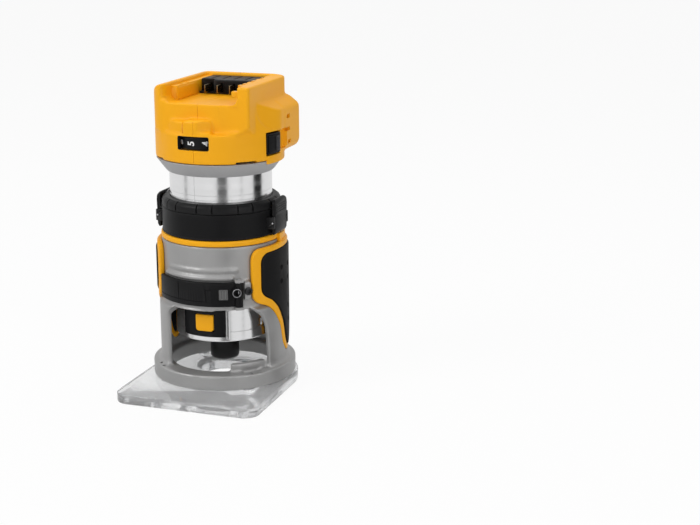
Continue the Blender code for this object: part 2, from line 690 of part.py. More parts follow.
def make_motor_core():
    ring("stator_core", STATOR_OUT_R, STATOR_IN_R, STATOR_LOW, STATOR_LOW + STATOR_H, STEEL)
    top = STATOR_LOW + STATOR_H
    for name, low in (("lower", STATOR_LOW - GAP - WINDING_H), ("upper", top + GAP)):
        ring(f"winding_{name}", STATOR_OUT_R - 0.0015, STATOR_IN_R + 0.0015, low, low + WINDING_H,
             COPPER, FINE)
    for name, low in (("lower", LOWER_BEARING_Z), ("upper", deck_top - BEARING_H)):
        ring(f"bearing_{name}", BEARING_R, SHAFT_R + GAP, low, low + BEARING_H, STEEL, FINE)


def make_spindle():
    step = LOWER_BEARING_Z - GAP
    nose_r = NUT_R - NUT_WALL
    collet_r = nose_r - COLLET_WALL - GAP
    collet_high = NUT_LOW + COLLET_LOW + COLLET_H
    turned("spindle_shaft", [
        (0, deck_top + 0.002), (SHAFT_R, deck_top + 0.002), (SHAFT_R, step), (nose_r, step - 0.0004),
        (nose_r, NUT_LOW + SEAT_RISE), (nose_r - COLLET_WALL, NUT_LOW + SEAT_RISE),
        (nose_r - COLLET_WALL, collet_high + GAP * 2), (0, collet_high + GAP * 2)], STEEL, False, FINE)
    ring("collet", collet_r, COLLET_BORE_R, NUT_LOW + COLLET_LOW, collet_high, STEEL, FINE)
    turned("collet_nut", [
        (NUT_R, NUT_LOW + NUT_H), (NUT_R, NUT_LOW + 0.002), (NUT_R - 0.002, NUT_LOW),
        (collet_r + GAP, NUT_LOW), (collet_r + GAP, NUT_LOW + SEAT_RISE - GAP),
        (nose_r + GAP, NUT_LOW + SEAT_RISE - GAP), (nose_r + GAP, NUT_LOW + NUT_H)], OXIDE, True, FINE)
    ring("rotor", STATOR_IN_R - 0.0006, SHAFT_R + GAP, STATOR_LOW - 0.002,
         STATOR_LOW + STATOR_H + 0.002, STEEL, FINE)
    fan_low = STATOR_LOW + STATOR_H + WINDING_H + 0.004
    fan = turned("fan", [
        (0.0085, fan_low + FAN_H), (0.0085, fan_low + 0.0015), (FAN_R, fan_low + 0.0015),
        (FAN_R, fan_low), (SHAFT_R + GAP, fan_low), (SHAFT_R + GAP, fan_low + FAN_H)],
        BLACK, True, FINE)
    for i in range(FAN_BLADES):
        blade = block(f"fan_blade_add_{i}", (0.007, -0.0006, fan_low + 0.001),
                      (FAN_R - 0.0015, 0.0006, fan_low + FAN_H - 0.001))
        blade.rotation_euler.z = 2 * pi * i / FAN_BLADES
        boolean(fan, blade, "UNION")


def pedestal_outline(shrink=0.0):
    """The head's upper plan: three round corners and a crisp one at the front right."""
    half, front, rear = HEAD_HALF - shrink, HEAD_FRONT - shrink, HEAD_REAR - shrink
    corners = [(half, rear), (-half, rear), (-half, -front), (half, -front)]
    eased = softened(corners, HEAD_CORNER, 5)[:-6]
    return [tuple(p) for p in eased] + [(half - HEAD_CRISP, -front), (half, -front + HEAD_CRISP)]


def across(name, outline, front, rear):
    """A flat outline of (x, z) points made solid between two depths."""
    bm = bmesh.new()
    face = bm.faces.new([bm.verts.new((x, front, z)) for x, z in outline])
    moved = bmesh.ops.extrude_face_region(bm, geom=[face])["geom"]
    bmesh.ops.translate(bm, vec=(0, rear - front, 0),
                        verts=[v for v in moved if isinstance(v, bmesh.types.BMVert)])
    return finish_mesh(name, bm, None)


def crown_outline(shrink=0.0):
    """The head from the front: square at the right, rounded over at the left."""
    half = HEAD_HALF - shrink + 0.001
    arc = [(-half + CROWN_IN * (1 - cos(radians(a))), HEAD_TOP - CROWN_DROP * (1 - sin(radians(a))))
           for a in range(0, 91, 15)]
    low = BAND_LOW + 0.010
    return [(-half, low), (half, low), (half, HEAD_TOP), *reversed(arc)]


def shoulder_outline(side):
    """The hollow shoulder below a side wall, from the front."""
    run, rise = SHOULDER_X - HEAD_HALF, SHOULDER_TOP - SHOULDER_FOOT
    hollow = [(HEAD_HALF + run * (1 - sin(radians(a))), SHOULDER_TOP - rise * cos(radians(a)))
              for a in range(0, 91, 15)]
    points = [(HEAD_HALF - 0.006, SHOULDER_TOP), (HEAD_HALF - 0.006, BAND_LOW + 0.011),
              (SHOULDER_X, BAND_LOW + 0.011), *hollow]
    return [(side * x, z) for x, z in points]


def bulge_outline(side):
    """The rear bulge on each side, from the front, with its sloping top."""
    points = [(HEAD_HALF - 0.006, BULGE_LOW), (BULGE_X - 0.003, BULGE_LOW), (BULGE_X, BULGE_LOW + 0.004),
              (BULGE_X, BULGE_TOP - BULGE_SLOPE), (HEAD_HALF + 0.001, BULGE_TOP),
              (HEAD_HALF - 0.006, BULGE_TOP)]
    return [(side * x, z) for x, z in points]


def make_head_shells():
    """Two halves of the head, closed at a seam over the spindle axis."""
    inner_r = BAND_R - WALL - 0.0013
    for name, side in (("left", -1), ("right", 1)):
        shell = ring(f"head_shell_{name}", BAND_R, 0, BAND_LOW, LEDGE_Z, YELLOW)
        tag = name[0]
        pedestal = prism(f"pedestal_add_{tag}", pedestal_outline(), BAND_LOW + 0.012, HEAD_TOP + 0.01)
        boolean(pedestal, across(f"crown_keep_{tag}", crown_outline(), -0.1, 0.1), "INTERSECT")
        boolean(shell, pedestal, "UNION")
        hollow = across(f"hollow_add_{tag}", shoulder_outline(side), -SHOULDER_FRONT, BULGE_REAR - 0.004)
        boolean(hollow, ring(f"hollow_keep_{tag}", BAND_R - 0.0004, 0, BAND_LOW, HEAD_TOP), "INTERSECT")
        boolean(shell, hollow, "UNION")
        bulge = across(f"bulge_add_{tag}", bulge_outline(side), BULGE_FRONT, BULGE_REAR)
        boolean(shell, bevel(bulge, 0.003, 1), "UNION")
        boolean(shell, block(f"slot_cut_{tag}", (-SLOT_LEFT, -0.06, SLOT_FLOOR),
                             (SLOT_RIGHT, SLOT_REAR, HEAD_TOP + 0.01)))
        edge = -SLOT_LEFT if side < 0 else SLOT_RIGHT
        xs = sorted((edge + side * 0.001, edge - side * RAIL_W))
        boolean(shell, block(f"rail_add_{tag}", (xs[0], RAIL_FRONT, RAIL_TOP - RAIL_H),
                             (xs[1], SLOT_REAR + 0.001, RAIL_TOP)), "UNION")
        boolean(shell, ring(f"band_cut_{tag}", inner_r, 0, BAND_LOW - 0.01, LEDGE_Z - WALL))
        boolean(shell, prism(f"room_cut_{tag}", pedestal_outline(WALL), LEDGE_Z - WALL - ROOM_LAP,
                             slot_under))
        window = box_outline(DIAL_LEFT, DIAL_RIGHT, DIAL_LOW - GAP, DIAL_LOW + DIAL_H + GAP)
        boolean(shell, wrapped(f"window_cut_{tag}", window, 0.034, 0.05, corner=0.001))
        wheel = rod(f"wheel_cut_{tag}", DIAL_R + GAP * 2, (0, dial_y, DIAL_LOW - GAP),
                    (0, dial_y, DIAL_LOW + DIAL_H + GAP), steps=STEPS)
        boolean(shell, wheel)
        switch = box_outline(SWITCH_DEG - SWITCH_HALF_DEG - BEZEL_SIDE - SWITCH_PLAY,
                             SWITCH_DEG + SWITCH_HALF_DEG + BEZEL_SIDE + SWITCH_PLAY,
                             SWITCH_LOW - BEZEL_RIM - GAP * 3, SWITCH_TOP + BEZEL_RIM + GAP * 3)
        boolean(shell, wrapped(f"switch_cut_{tag}", switch, 0.030, 0.06))
        for i, (y, z) in enumerate(HEAD_SCREWS):
            wall_x = sqrt(BAND_R ** 2 - y ** 2) if z < LEDGE_Z else HEAD_HALF
            boolean(shell, rod(f"screw_boss_add_{tag}{i}", HEAD_BOSS_R, (0, y, z),
                               (side * (wall_x - 0.002), y, z), steps=16), "UNION")
            boolean(shell, rod(f"screw_way_cut_{tag}{i}", HEAD_SCREW_R + GAP, (-0.06, y, z),
                               (HEAD_SCREW_REACH + GAP, y, z), steps=12))
            boolean(shell, rod(f"screw_sink_cut_{tag}{i}", HEAD_SCREW_HEAD_R + GAP, (-0.06, y, z),
                               (-HEAD_SCREW_SEAT, y, z), steps=16))
        xs = sorted((-side * 0.1, side * GAP / 2))
        boolean(shell, block(f"seam_cut_{tag}", (xs[0], -0.1, 0.1), (xs[1], 0.1, 0.3)))


def make_dial():
    holder = bpy.data.objects.new("dial_axis", None)
    holder.parent = axis_empty
    holder.location = (0, dial_y, 0)
    parts.objects.link(holder)
    turned("speed_dial", [
        (DIAL_R, DIAL_LOW + DIAL_H), (DIAL_R, DIAL_LOW), (DIAL_POST_R + GAP, DIAL_LOW),
        (DIAL_POST_R + GAP, DIAL_LOW + DIAL_H)], BLACK, True, STEPS, holder)
    turned("speed_sensor", [
        (0, DIAL_LOW + DIAL_H - 0.001), (DIAL_POST_R, DIAL_LOW + DIAL_H - 0.001), (DIAL_POST_R, DIAL_LOW - GAP),
        (SENSOR_R, DIAL_LOW - GAP), (SENSOR_R, BAND_LOW + GAP), (0, BAND_LOW + GAP)],
        GREY, False, FINE, holder)


def make_switch():
    left, right = SWITCH_DEG - SWITCH_HALF_DEG, SWITCH_DEG + SWITCH_HALF_DEG
    bezel = wrapped("switch_bezel", box_outline(left - BEZEL_SIDE, right + BEZEL_SIDE, SWITCH_LOW - BEZEL_RIM,
                                                SWITCH_TOP + BEZEL_RIM),
                    BAND_R - WALL - 0.001, BAND_R + 0.0002, BLACK)
    boolean(bezel, wrapped("bezel_cut", box_outline(left - SWITCH_PLAY, right + SWITCH_PLAY,
                                                    SWITCH_LOW - GAP, SWITCH_TOP + GAP), 0.03, 0.06))
    wrapped("power_switch", box_outline(left, right, SWITCH_LOW, SWITCH_TOP),
            BAND_R - WALL, SWITCH_R, BLACK)


def make_terminals():
    terminal = block("terminal_block", (-SLOT_LEFT + RAIL_W + GAP, TERMINAL_FRONT, SLOT_FLOOR + GAP),
                     (SLOT_RIGHT - RAIL_W - GAP, SLOT_REAR - GAP, TERMINAL_TOP), BLACK)
    bevel(terminal, 0.0008, 1)
    middle = (SLOT_RIGHT - SLOT_LEFT) / 2
    for i in range(BLADE_COUNT):
        x = middle + (i - (BLADE_COUNT - 1) / 2) * BLADE_PITCH
        block(f"contact_blade_{i + 1}", (x - BLADE_THICK / 2, TERMINAL_FRONT - GAP - BLADE_LEN,
                                         SLOT_FLOOR + BLADE_RISE),
              (x + BLADE_THICK / 2, TERMINAL_FRONT - GAP, SLOT_FLOOR + BLADE_RISE + BLADE_H), BRASS)
    block("controller_board", (-BOARD_HALF, -BOARD_FRONT, slot_under - GAP - BOARD_THICK),
          (BOARD_HALF, BOARD_REAR, slot_under - GAP), BOARD)


make_sub_base()
make_sub_base_screws()
make_base_casting()
make_lever_hardware()
make_base_trim()
make_grips()
make_release_collar()
make_release_tabs()
make_depth_ring()
make_clamp_lever()
make_motor_can()
make_nose()
make_lock()
make_head_flange()
make_head_screws()
make_motor_core()
make_spindle()
make_head_shells()
make_dial()
make_switch()
make_terminals()
for made in parts.objects:
    if made.type == "MESH":
        smooth(made)
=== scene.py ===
import json
from math import cos, degrees, pi, radians, sin

import bpy
from mathutils import Matrix, Vector

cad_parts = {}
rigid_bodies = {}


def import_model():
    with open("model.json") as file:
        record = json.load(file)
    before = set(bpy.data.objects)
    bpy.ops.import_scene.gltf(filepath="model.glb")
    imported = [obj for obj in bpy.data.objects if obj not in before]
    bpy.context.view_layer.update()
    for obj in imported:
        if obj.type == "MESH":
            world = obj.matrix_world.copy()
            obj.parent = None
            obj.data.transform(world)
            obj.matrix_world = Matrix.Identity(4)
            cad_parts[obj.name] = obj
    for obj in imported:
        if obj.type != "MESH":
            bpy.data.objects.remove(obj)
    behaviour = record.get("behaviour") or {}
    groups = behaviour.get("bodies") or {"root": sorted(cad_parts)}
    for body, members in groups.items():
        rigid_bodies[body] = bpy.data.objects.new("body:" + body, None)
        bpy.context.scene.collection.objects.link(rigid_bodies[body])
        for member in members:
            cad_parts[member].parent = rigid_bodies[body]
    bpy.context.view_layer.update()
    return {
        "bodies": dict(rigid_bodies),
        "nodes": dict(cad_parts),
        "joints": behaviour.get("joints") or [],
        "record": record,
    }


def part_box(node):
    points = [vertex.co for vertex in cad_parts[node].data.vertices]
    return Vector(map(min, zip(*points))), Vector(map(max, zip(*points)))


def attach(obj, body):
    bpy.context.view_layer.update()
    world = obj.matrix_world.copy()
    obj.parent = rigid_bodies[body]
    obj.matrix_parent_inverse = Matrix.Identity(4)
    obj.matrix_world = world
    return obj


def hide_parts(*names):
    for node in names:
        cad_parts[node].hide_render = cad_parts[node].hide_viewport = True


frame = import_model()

canLow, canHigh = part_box("motor_can")
spindleY = (canLow.y + canHigh.y) / 2
canR = (canHigh.x - canLow.x) / 2
# the clearance between parts that move on each other
play = 0.0003
# radii to which cutters reach, outside the skin of every piece that they cut
nearSkin, pastSkin = 0.05, 0.06


def clearSelection():
    if bpy.context.object and bpy.context.object.mode != "OBJECT":
        bpy.ops.object.mode_set(mode="OBJECT")
    bpy.ops.object.select_all(action="DESELECT")


def pick(piece):
    clearSelection()
    piece.select_set(True)
    bpy.context.view_layer.objects.active = piece


def editAll(piece):
    pick(piece)
    bpy.ops.object.mode_set(mode="EDIT")
    bpy.ops.mesh.select_all(action="SELECT")


def editDone():
    bpy.ops.object.mode_set(mode="OBJECT")


def faceOut():
    bpy.ops.mesh.select_all(action="SELECT")
    bpy.ops.mesh.normals_make_consistent(inside=False)


def named(name):
    piece = bpy.context.object
    piece.name = name
    piece.data.name = name
    return piece


def applyPlace(piece):
    pick(piece)
    bpy.ops.object.transform_apply(location=True, rotation=True, scale=True)
    return piece


def modify(piece, kind, **values):
    # adds a modifier, sets its values and applies it
    pick(piece)
    modifier = piece.modifiers.new(kind.lower(), kind)
    for key, value in values.items():
        setattr(modifier, key, value)
    bpy.ops.object.modifier_apply(modifier=modifier.name)
    return piece


def roundEdges(piece, width, segments=3, angle=30):
    return modify(piece, "BEVEL", width=width, segments=segments, limit_method="ANGLE",
        angle_limit=radians(angle), harden_normals=False, use_clamp_overlap=True)


def join(piece, other, operation="UNION"):
    modify(piece, "BOOLEAN", object=other, operation=operation, solver="EXACT")
    bpy.data.objects.remove(other, do_unlink=True)
    return piece


def cut(piece, other):
    return join(piece, other, "DIFFERENCE")


def soften(piece, voxel, rounds, factor=0.5):
    # melts a joined form into one skin with moulded corners
    modify(piece, "REMESH", mode="VOXEL", voxel_size=voxel, adaptivity=0.0)
    modify(piece, "SMOOTH", factor=factor, iterations=rounds)
    return piece


def shade(piece, angle=35):
    pick(piece)
    bpy.ops.object.shade_smooth_by_angle(angle=radians(angle))
    return piece


def copyOf(piece, name):
    twin = piece.copy()
    twin.data = piece.data.copy()
    twin.name = name
    bpy.context.scene.collection.objects.link(twin)
    return twin


def outline(name, points):
    # a closed loop of edges through the given points
    clearSelection()
    bpy.ops.mesh.primitive_circle_add(vertices=len(points), radius=0.01)
    piece = named(name)
    for vertex, point in zip(piece.data.vertices, points):
        vertex.co = point
    return piece


def lathe(name, profile, steps=128, middle=None):
    # a closed (radius, height) profile spun round the spindle
    x, y = middle or (0, spindleY)
    piece = outline(name, [(x + radius, y, height) for radius, height in profile])
    editAll(piece)
    bpy.ops.mesh.spin(steps=steps, angle=2 * pi, center=(x, y, 0), axis=(0, 0, 1))
    bpy.ops.mesh.select_all(action="SELECT")
    bpy.ops.mesh.remove_doubles(threshold=0.000005)
    bpy.ops.mesh.delete_loose()
    faceOut()
    editDone()
    return piece


def extruded(name, points, shift):
    # a closed outline filled and extruded
    piece = outline(name, points)
    editAll(piece)
    bpy.ops.mesh.edge_face_add()
    bpy.ops.mesh.extrude_region_move(TRANSFORM_OT_translate={"value": shift})
    faceOut()
    editDone()
    return piece


def slab(name, points, low, high):
    # an outline of (x, y) from one height to another
    return extruded(name, [(x, y, low) for x, y in points], (0, 0, high - low))


def across(name, points, front, rear):
    # an outline of (x, height) from the front to the rear
    return extruded(name, [(x, front, z) for x, z in points], (0, rear - front, 0))


def box(name, low, high):
    clearSelection()
    middle = (Vector(low) + Vector(high)) / 2
    size = Vector(high) - Vector(low)
    bpy.ops.mesh.primitive_cube_add(size=1, location=middle, scale=size)
    return applyPlace(named(name))


def rod(name, radius, start, end, sides=32):
    clearSelection()
    along = Vector(end) - Vector(start)
    bpy.ops.mesh.primitive_cylinder_add(vertices=sides, radius=radius, depth=along.length,
        location=(Vector(start) + Vector(end)) / 2, rotation=along.to_track_quat("Z", "Y").to_euler())
    return applyPlace(named(name))


def around(radius, turn, height):
    # a point at a radius, an angle in degrees (-90 is the front) and a height
    return Vector((radius * cos(radians(turn)), spindleY + radius * sin(radians(turn)), height))


def post(name, radius, away, turn, low, high, sides=32):
    # an upright rod at a distance from the spindle
    return rod(name, radius, around(away, turn, low), around(away, turn, high), sides)


def spoke(name, radius, turn, height, inner, outer, sides=32):
    # a rod that points away from the spindle
    return rod(name, radius, around(inner, turn, height), around(outer, turn, height), sides)


def quarter(x, y, wide, high, step, back=False):
    # the points of a round corner, a quarter turn in steps of some degrees
    turns = [radians(a) for a in range(0, 91, step)]
    if back:
        return [(x + wide * (1 - sin(t)), y + high * (1 - cos(t))) for t in turns]
    return [(x + wide * (1 - cos(t)), y + high * (1 - sin(t))) for t in turns]


def sideTurn(side):
    # the middle of a grip, which sits a little behind the side
    return 10 if side > 0 else 170


def rounded(points, radius, steps=6):
    # the same outline with its corners eased
    out = []
    for i, corner in enumerate(points):
        here = Vector(corner)
        before = Vector(points[i - 1]) - here
        after = Vector(points[(i + 1) % len(points)]) - here
        start = here + before.normalized() * min(radius, before.length * 0.48)
        end = here + after.normalized() * min(radius, after.length * 0.48)
        for k in range(steps + 1):
            t = k / steps
            out.append(start * (1 - t) ** 2 + here * 2 * t * (1 - t) + end * t ** 2)
    return out


def wrap(name, degPoints, inner, outer, corner=0.0, edge=0.0, bend=0.0018):
    # an outline of (degrees, height) points given thickness, eased, and bent round the spindle
    flat = [(radians(turn) * outer, height) for turn, height in degPoints]
    if corner:
        flat = rounded(flat, corner)
    piece = across(name, flat, 0, outer - inner)
    if edge:
        roundEdges(piece, edge, 3, 50)
    low = min(v.co.x for v in piece.data.vertices)
    high = max(v.co.x for v in piece.data.vertices)
    editAll(piece)
    at = (low // bend + 1) * bend
    while at < high - 0.00005:
        bpy.ops.mesh.select_all(action="SELECT")
        bpy.ops.mesh.bisect(plane_co=(at, 0, 0), plane_no=(1, 0, 0))
        at += bend
    bpy.ops.mesh.select_all(action="SELECT")
    bpy.ops.mesh.remove_doubles(threshold=0.000005)
    bpy.ops.mesh.quads_convert_to_tris()
    editDone()
    for vertex in piece.data.vertices:
        turn = vertex.co.x / outer
        radius = inner + vertex.co.y
        vertex.co = (radius * cos(turn), spindleY + radius * sin(turn), vertex.co.z)
    editAll(piece)
    faceOut()
    editDone()
    return piece


def wire(name, points, radius):
    # a round wire along five or more points
    clearSelection()
    bpy.ops.curve.primitive_nurbs_path_add()
    piece = named(name)
    line = piece.data.splines[0]
    line.points.add(len(points) - len(line.points))
    for knot, point in zip(line.points, points):
        knot.co = (*point, 1)
    line.use_endpoint_u = True
    piece.data.bevel_depth = radius
    piece.data.bevel_resolution = 3
    piece.data.use_fill_caps = True
    bpy.ops.object.convert(target="MESH")
    return named(name)


def square(left, right, low, high):
    return [(left, low), (right, low), (right, high), (left, high)]


def bent(name, sides, inner, outer, *easing):
    # a bent block between two angles and two heights
    return wrap(name, square(*sides), inner, outer, *easing)


def newGroup(name, inputs, outputs):
    group = bpy.data.node_groups.new(name, "ShaderNodeTree")
    for label, value in inputs:
        socket = group.interface.new_socket(label, in_out="INPUT", socket_type="NodeSocketFloat")
        socket.default_value = value
    for label in outputs:
        group.interface.new_socket(label, in_out="OUTPUT", socket_type="NodeSocketFloat")
    return group, group.nodes.new("NodeGroupInput"), group.nodes.new("NodeGroupOutput")


def give(node, values):
    # sets the plain values of a node's sockets
    for socket, value in values.items():
        node.inputs[socket].default_value = value
    return node


def mathNode(tree, operation, first, second):
    node = tree.nodes.new("ShaderNodeMath")
    node.operation = operation
    for socket, value in zip(node.inputs, (first, second)):
        if isinstance(value, (int, float)):
            socket.default_value = value
        else:
            tree.links.new(value, socket)
    return node.outputs[0]


def noiseNode(tree, scale, detail, vector=None, rough=0.5):
    node = give(tree.nodes.new("ShaderNodeTexNoise"), {"Detail": detail, "Roughness": rough})
    if isinstance(scale, (int, float)):
        node.inputs["Scale"].default_value = scale
    else:
        tree.links.new(scale, node.inputs["Scale"])
    if vector is None:
        vector = tree.nodes.new("ShaderNodeTexCoord").outputs["Object"]
    tree.links.new(vector, node.inputs["Vector"])
    return node.outputs["Fac"]


def buildGrainGroup():
    # fine moulded texture, a slow drift of tone, and a painted highlight that lightens sharp edges, in
    # patches
    group, given, out = newGroup("mouldGrain", [("Grain", 2600.0), ("Drift", 35.0)],
        ["Height", "Tone", "EdgeHighlight"])
    fine = noiseNode(group, given.outputs["Grain"], 2)
    slow = noiseNode(group, given.outputs["Drift"], 3)
    group.links.new(fine, out.inputs["Height"])
    group.links.new(slow, out.inputs["Tone"])
    # painted highlight: the sharper the edge, the lighter its colour
    edge = group.nodes.new("ShaderNodeNewGeometry").outputs["Pointiness"]
    edgeHighlight = mathNode(group, "MULTIPLY", mathNode(group, "SUBTRACT", edge, 0.53), 9.0)
    patchy = mathNode(group, "MULTIPLY", edgeHighlight, slow)
    clamp = group.nodes.new("ShaderNodeClamp")
    group.links.new(patchy, clamp.inputs[0])
    group.links.new(clamp.outputs[0], out.inputs["EdgeHighlight"])
    return group


def buildCastGroup():
    # the pebbled skin of a sand or die casting under paint
    group, given, out = newGroup("castSkin", [("Grain", 900.0)], ["Height", "Tone"])
    coarse = noiseNode(group, given.outputs["Grain"], 4, rough=0.6)
    broad = noiseNode(group, 60, 2)
    group.links.new(mathNode(group, "ADD", coarse, mathNode(group, "MULTIPLY", broad, 0.6)),
        out.inputs["Height"])
    group.links.new(broad, out.inputs["Tone"])
    return group


def buildTurnedGroup():
    # the fine rings that a lathe tool leaves, stacked along the spindle
    group, given, out = newGroup("turnedRings", [("Lines", 5200.0)], ["Height", "Tone"])
    place = group.nodes.new("ShaderNodeSeparateXYZ")
    group.links.new(group.nodes.new("ShaderNodeTexCoord").outputs["Object"], place.inputs[0])
    stack = group.nodes.new("ShaderNodeCombineXYZ")
    group.links.new(place.outputs["Z"], stack.inputs["Z"])
    lines = noiseNode(group, given.outputs["Lines"], 2, stack.outputs[0], 0.6)
    group.links.new(lines, out.inputs["Height"])
    group.links.new(noiseNode(group, 220, 2, stack.outputs[0]), out.inputs["Tone"])
    return group


groups = {"mould": buildGrainGroup(), "cast": buildCastGroup(), "turned": buildTurnedGroup()}


def finishOf(name, look):
    # one material from a dictionary of plain values and the shared effects
    made = bpy.data.materials.new(name)
    made.use_nodes = True
    tree = made.node_tree
    shader = tree.nodes["Principled BSDF"]
    plain = ("IOR", "Transmission Weight", "Metallic", "Specular IOR Level")
    give(shader, {socket: look[socket] for socket in plain if socket in look})
    effect = tree.nodes.new("ShaderNodeGroup")
    effect.node_tree = groups[look["effect"]]
    give(effect, look.get("values", {}))
    mix = tree.nodes.new("ShaderNodeMix")
    mix.data_type = "RGBA"
    give(mix, {socket: (*colour, 1) for socket, colour in zip("AB", look["colours"])})
    tree.links.new(effect.outputs["Tone"], mix.inputs["Factor"])
    colour = mix.outputs["Result"]
    # painted highlight: a lighter colour is mixed in on sharp edges
    if "edgeHighlight" in look:
        edgeHighlight = tree.nodes.new("ShaderNodeMix")
        edgeHighlight.data_type = "RGBA"
        tree.links.new(effect.outputs["EdgeHighlight"], edgeHighlight.inputs["Factor"])
        tree.links.new(colour, edgeHighlight.inputs["A"])
        give(edgeHighlight, {"B": (*look["edgeHighlight"], 1)})
        colour = edgeHighlight.outputs["Result"]
    tree.links.new(colour, shader.inputs["Base Color"])
    # the noise mostly stays between 0.3 and 0.7
    smooth, dull = look["rough"]
    spread = give(tree.nodes.new("ShaderNodeMapRange"), {"From Min": 0.3, "From Max": 0.7, "To Min": smooth,
        "To Max": dull})
    tree.links.new(effect.outputs["Tone"], spread.inputs["Value"])
    tree.links.new(spread.outputs["Result"], shader.inputs["Roughness"])
    strength, deep = look["bump"]
    bump = give(tree.nodes.new("ShaderNodeBump"), {"Strength": strength, "Distance": deep})
    tree.links.new(effect.outputs["Height"], bump.inputs["Height"])
    tree.links.new(bump.outputs["Normal"], shader.inputs["Normal"])
    return made


# each look's lighter edge colour is a painted highlight on sharp edges
looks = {
    "yellow_plastic": {"effect": "mould", "colours": ((0.87, 0.388, 0.005), (0.91, 0.42, 0.006)),
        "rough": (0.34, 0.46), "bump": (0.25, 0.00012), "edgeHighlight": (0.92, 0.48, 0.04),
        "Specular IOR Level": 0.20},
    "black_plastic": {"effect": "mould", "colours": ((0.005, 0.005, 0.0055), (0.008, 0.008, 0.0085)),
        "rough": (0.34, 0.48), "bump": (0.30, 0.00015), "edgeHighlight": (0.05, 0.05, 0.05),
        "Specular IOR Level": 0.12},
    "grip_rubber": {"effect": "mould", "colours": ((0.004, 0.004, 0.0045), (0.007, 0.007, 0.0075)),
        "rough": (0.50, 0.66), "bump": (0.6, 0.0003), "edgeHighlight": (0.03, 0.03, 0.03),
        "values": {"Grain": 1500.0}, "Specular IOR Level": 0.14},
    "cast_aluminium": {"effect": "cast", "colours": ((0.30, 0.298, 0.296), (0.37, 0.368, 0.366)),
        "rough": (0.36, 0.48), "bump": (0.30, 0.00020), "Metallic": 0.45},
    "turned_aluminium": {"effect": "turned", "colours": ((0.80, 0.80, 0.805), (0.90, 0.90, 0.905)),
        "rough": (0.12, 0.24), "bump": (0.10, 0.00004), "Metallic": 1.0},
    "zinc_steel": {"effect": "turned", "colours": ((0.52, 0.52, 0.54), (0.62, 0.62, 0.64)),
        "rough": (0.24, 0.36), "bump": (0.1, 0.00004), "Metallic": 1.0},
    "black_steel": {"effect": "turned", "colours": ((0.016, 0.016, 0.017), (0.03, 0.03, 0.031)),
        "rough": (0.30, 0.44), "bump": (0.15, 0.00005), "Metallic": 0.6},
    "grey_plastic": {"effect": "mould", "colours": ((0.30, 0.30, 0.305), (0.34, 0.34, 0.345)),
        "rough": (0.42, 0.52), "bump": (0.25, 0.00012), "edgeHighlight": (0.5, 0.5, 0.5)},
    "copper_winding": {"effect": "turned", "colours": ((0.50, 0.18, 0.06), (0.62, 0.26, 0.10)),
        "rough": (0.25, 0.40), "bump": (0.5, 0.0002), "Metallic": 0.9, "values": {"Lines": 1800.0}},
    "potted_board": {"effect": "mould", "colours": ((0.02, 0.07, 0.03), (0.03, 0.10, 0.045)),
        "rough": (0.35, 0.5), "bump": (0.3, 0.0002), "edgeHighlight": (0.1, 0.2, 0.1)},
    "contact_brass": {"effect": "turned", "colours": ((0.72, 0.50, 0.18), (0.82, 0.60, 0.25)),
        "rough": (0.2, 0.32), "bump": (0.1, 0.00004), "Metallic": 1.0},
    "clear_acrylic": {"effect": "mould", "colours": ((0.88, 0.885, 0.89), (0.93, 0.935, 0.94)),
        "rough": (0.03, 0.08), "bump": (0.03, 0.00005), "IOR": 1.42, "Transmission Weight": 0.82,
        "values": {"Grain": 400.0}},
    "lens_clear": {"effect": "mould", "colours": ((0.9, 0.9, 0.86), (0.95, 0.95, 0.92)),
        "rough": (0.04, 0.1), "bump": (0.03, 0.00005), "IOR": 1.49, "Transmission Weight": 0.8},
}
finishes = {name: finishOf(name + "Look", look) for name, look in looks.items()}
print("finishes made:", len(finishes))
# a few small pieces are a shade of their slot's own material; the darker brass is a painted shade and the
# lighter grey of the switch ridge a painted highlight
whiteMark = finishOf("whiteMarkLook", {**looks["black_plastic"],
    "colours": ((0.72, 0.72, 0.72), (0.80, 0.80, 0.80)), "edgeHighlight": (0.8, 0.8, 0.8)})
# painted highlight: a lighter grey for the light along the switch's raised ridge
ridgeHighlight = finishOf("ridgeHighlightLook", {**looks["black_plastic"],
    "colours": ((0.045, 0.045, 0.047), (0.06, 0.06, 0.062))})
midGrey = finishOf("midGreyLook", {**looks["black_plastic"],
    "colours": ((0.10, 0.10, 0.10), (0.14, 0.14, 0.14)), "edgeHighlight": (0.25, 0.25, 0.25)})
dullSteel = finishOf("dullSteelLook", {**looks["zinc_steel"],
    "colours": ((0.22, 0.22, 0.23), (0.30, 0.30, 0.31))})
# painted shade: the blades' brass is darkened for the shade that they sit in
shadedBrass = finishOf("shadedBrassLook", {**looks["contact_brass"],
    "colours": ((0.20, 0.14, 0.07), (0.26, 0.19, 0.10))})

slotOf = {entry["node"]: entry["material_slot"] for entry in frame["record"]["subparts"]}
for node, solid in frame["nodes"].items():
    solid.data.materials.clear()
    solid.data.materials.append(finishes[slotOf[node]])


def keep(piece, body, slotName, replaced=(), angle=35, look=None):
    # gives a finished piece its material, its body and the solid that it stands for
    if angle:
        shade(piece, angle)
    piece.data.materials.clear()
    piece.data.materials.append(look or finishes[slotName])
    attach(piece, body)
    if replaced:
        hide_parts(*replaced)
    return piece


cameraSet = {"azimuth": 23.78, "elevation": 13.19, "distance": 0.96629, "aimHeight": 0.10997,
    "lens": 72.556, "aside": 0.0870, "down": 0.0284}


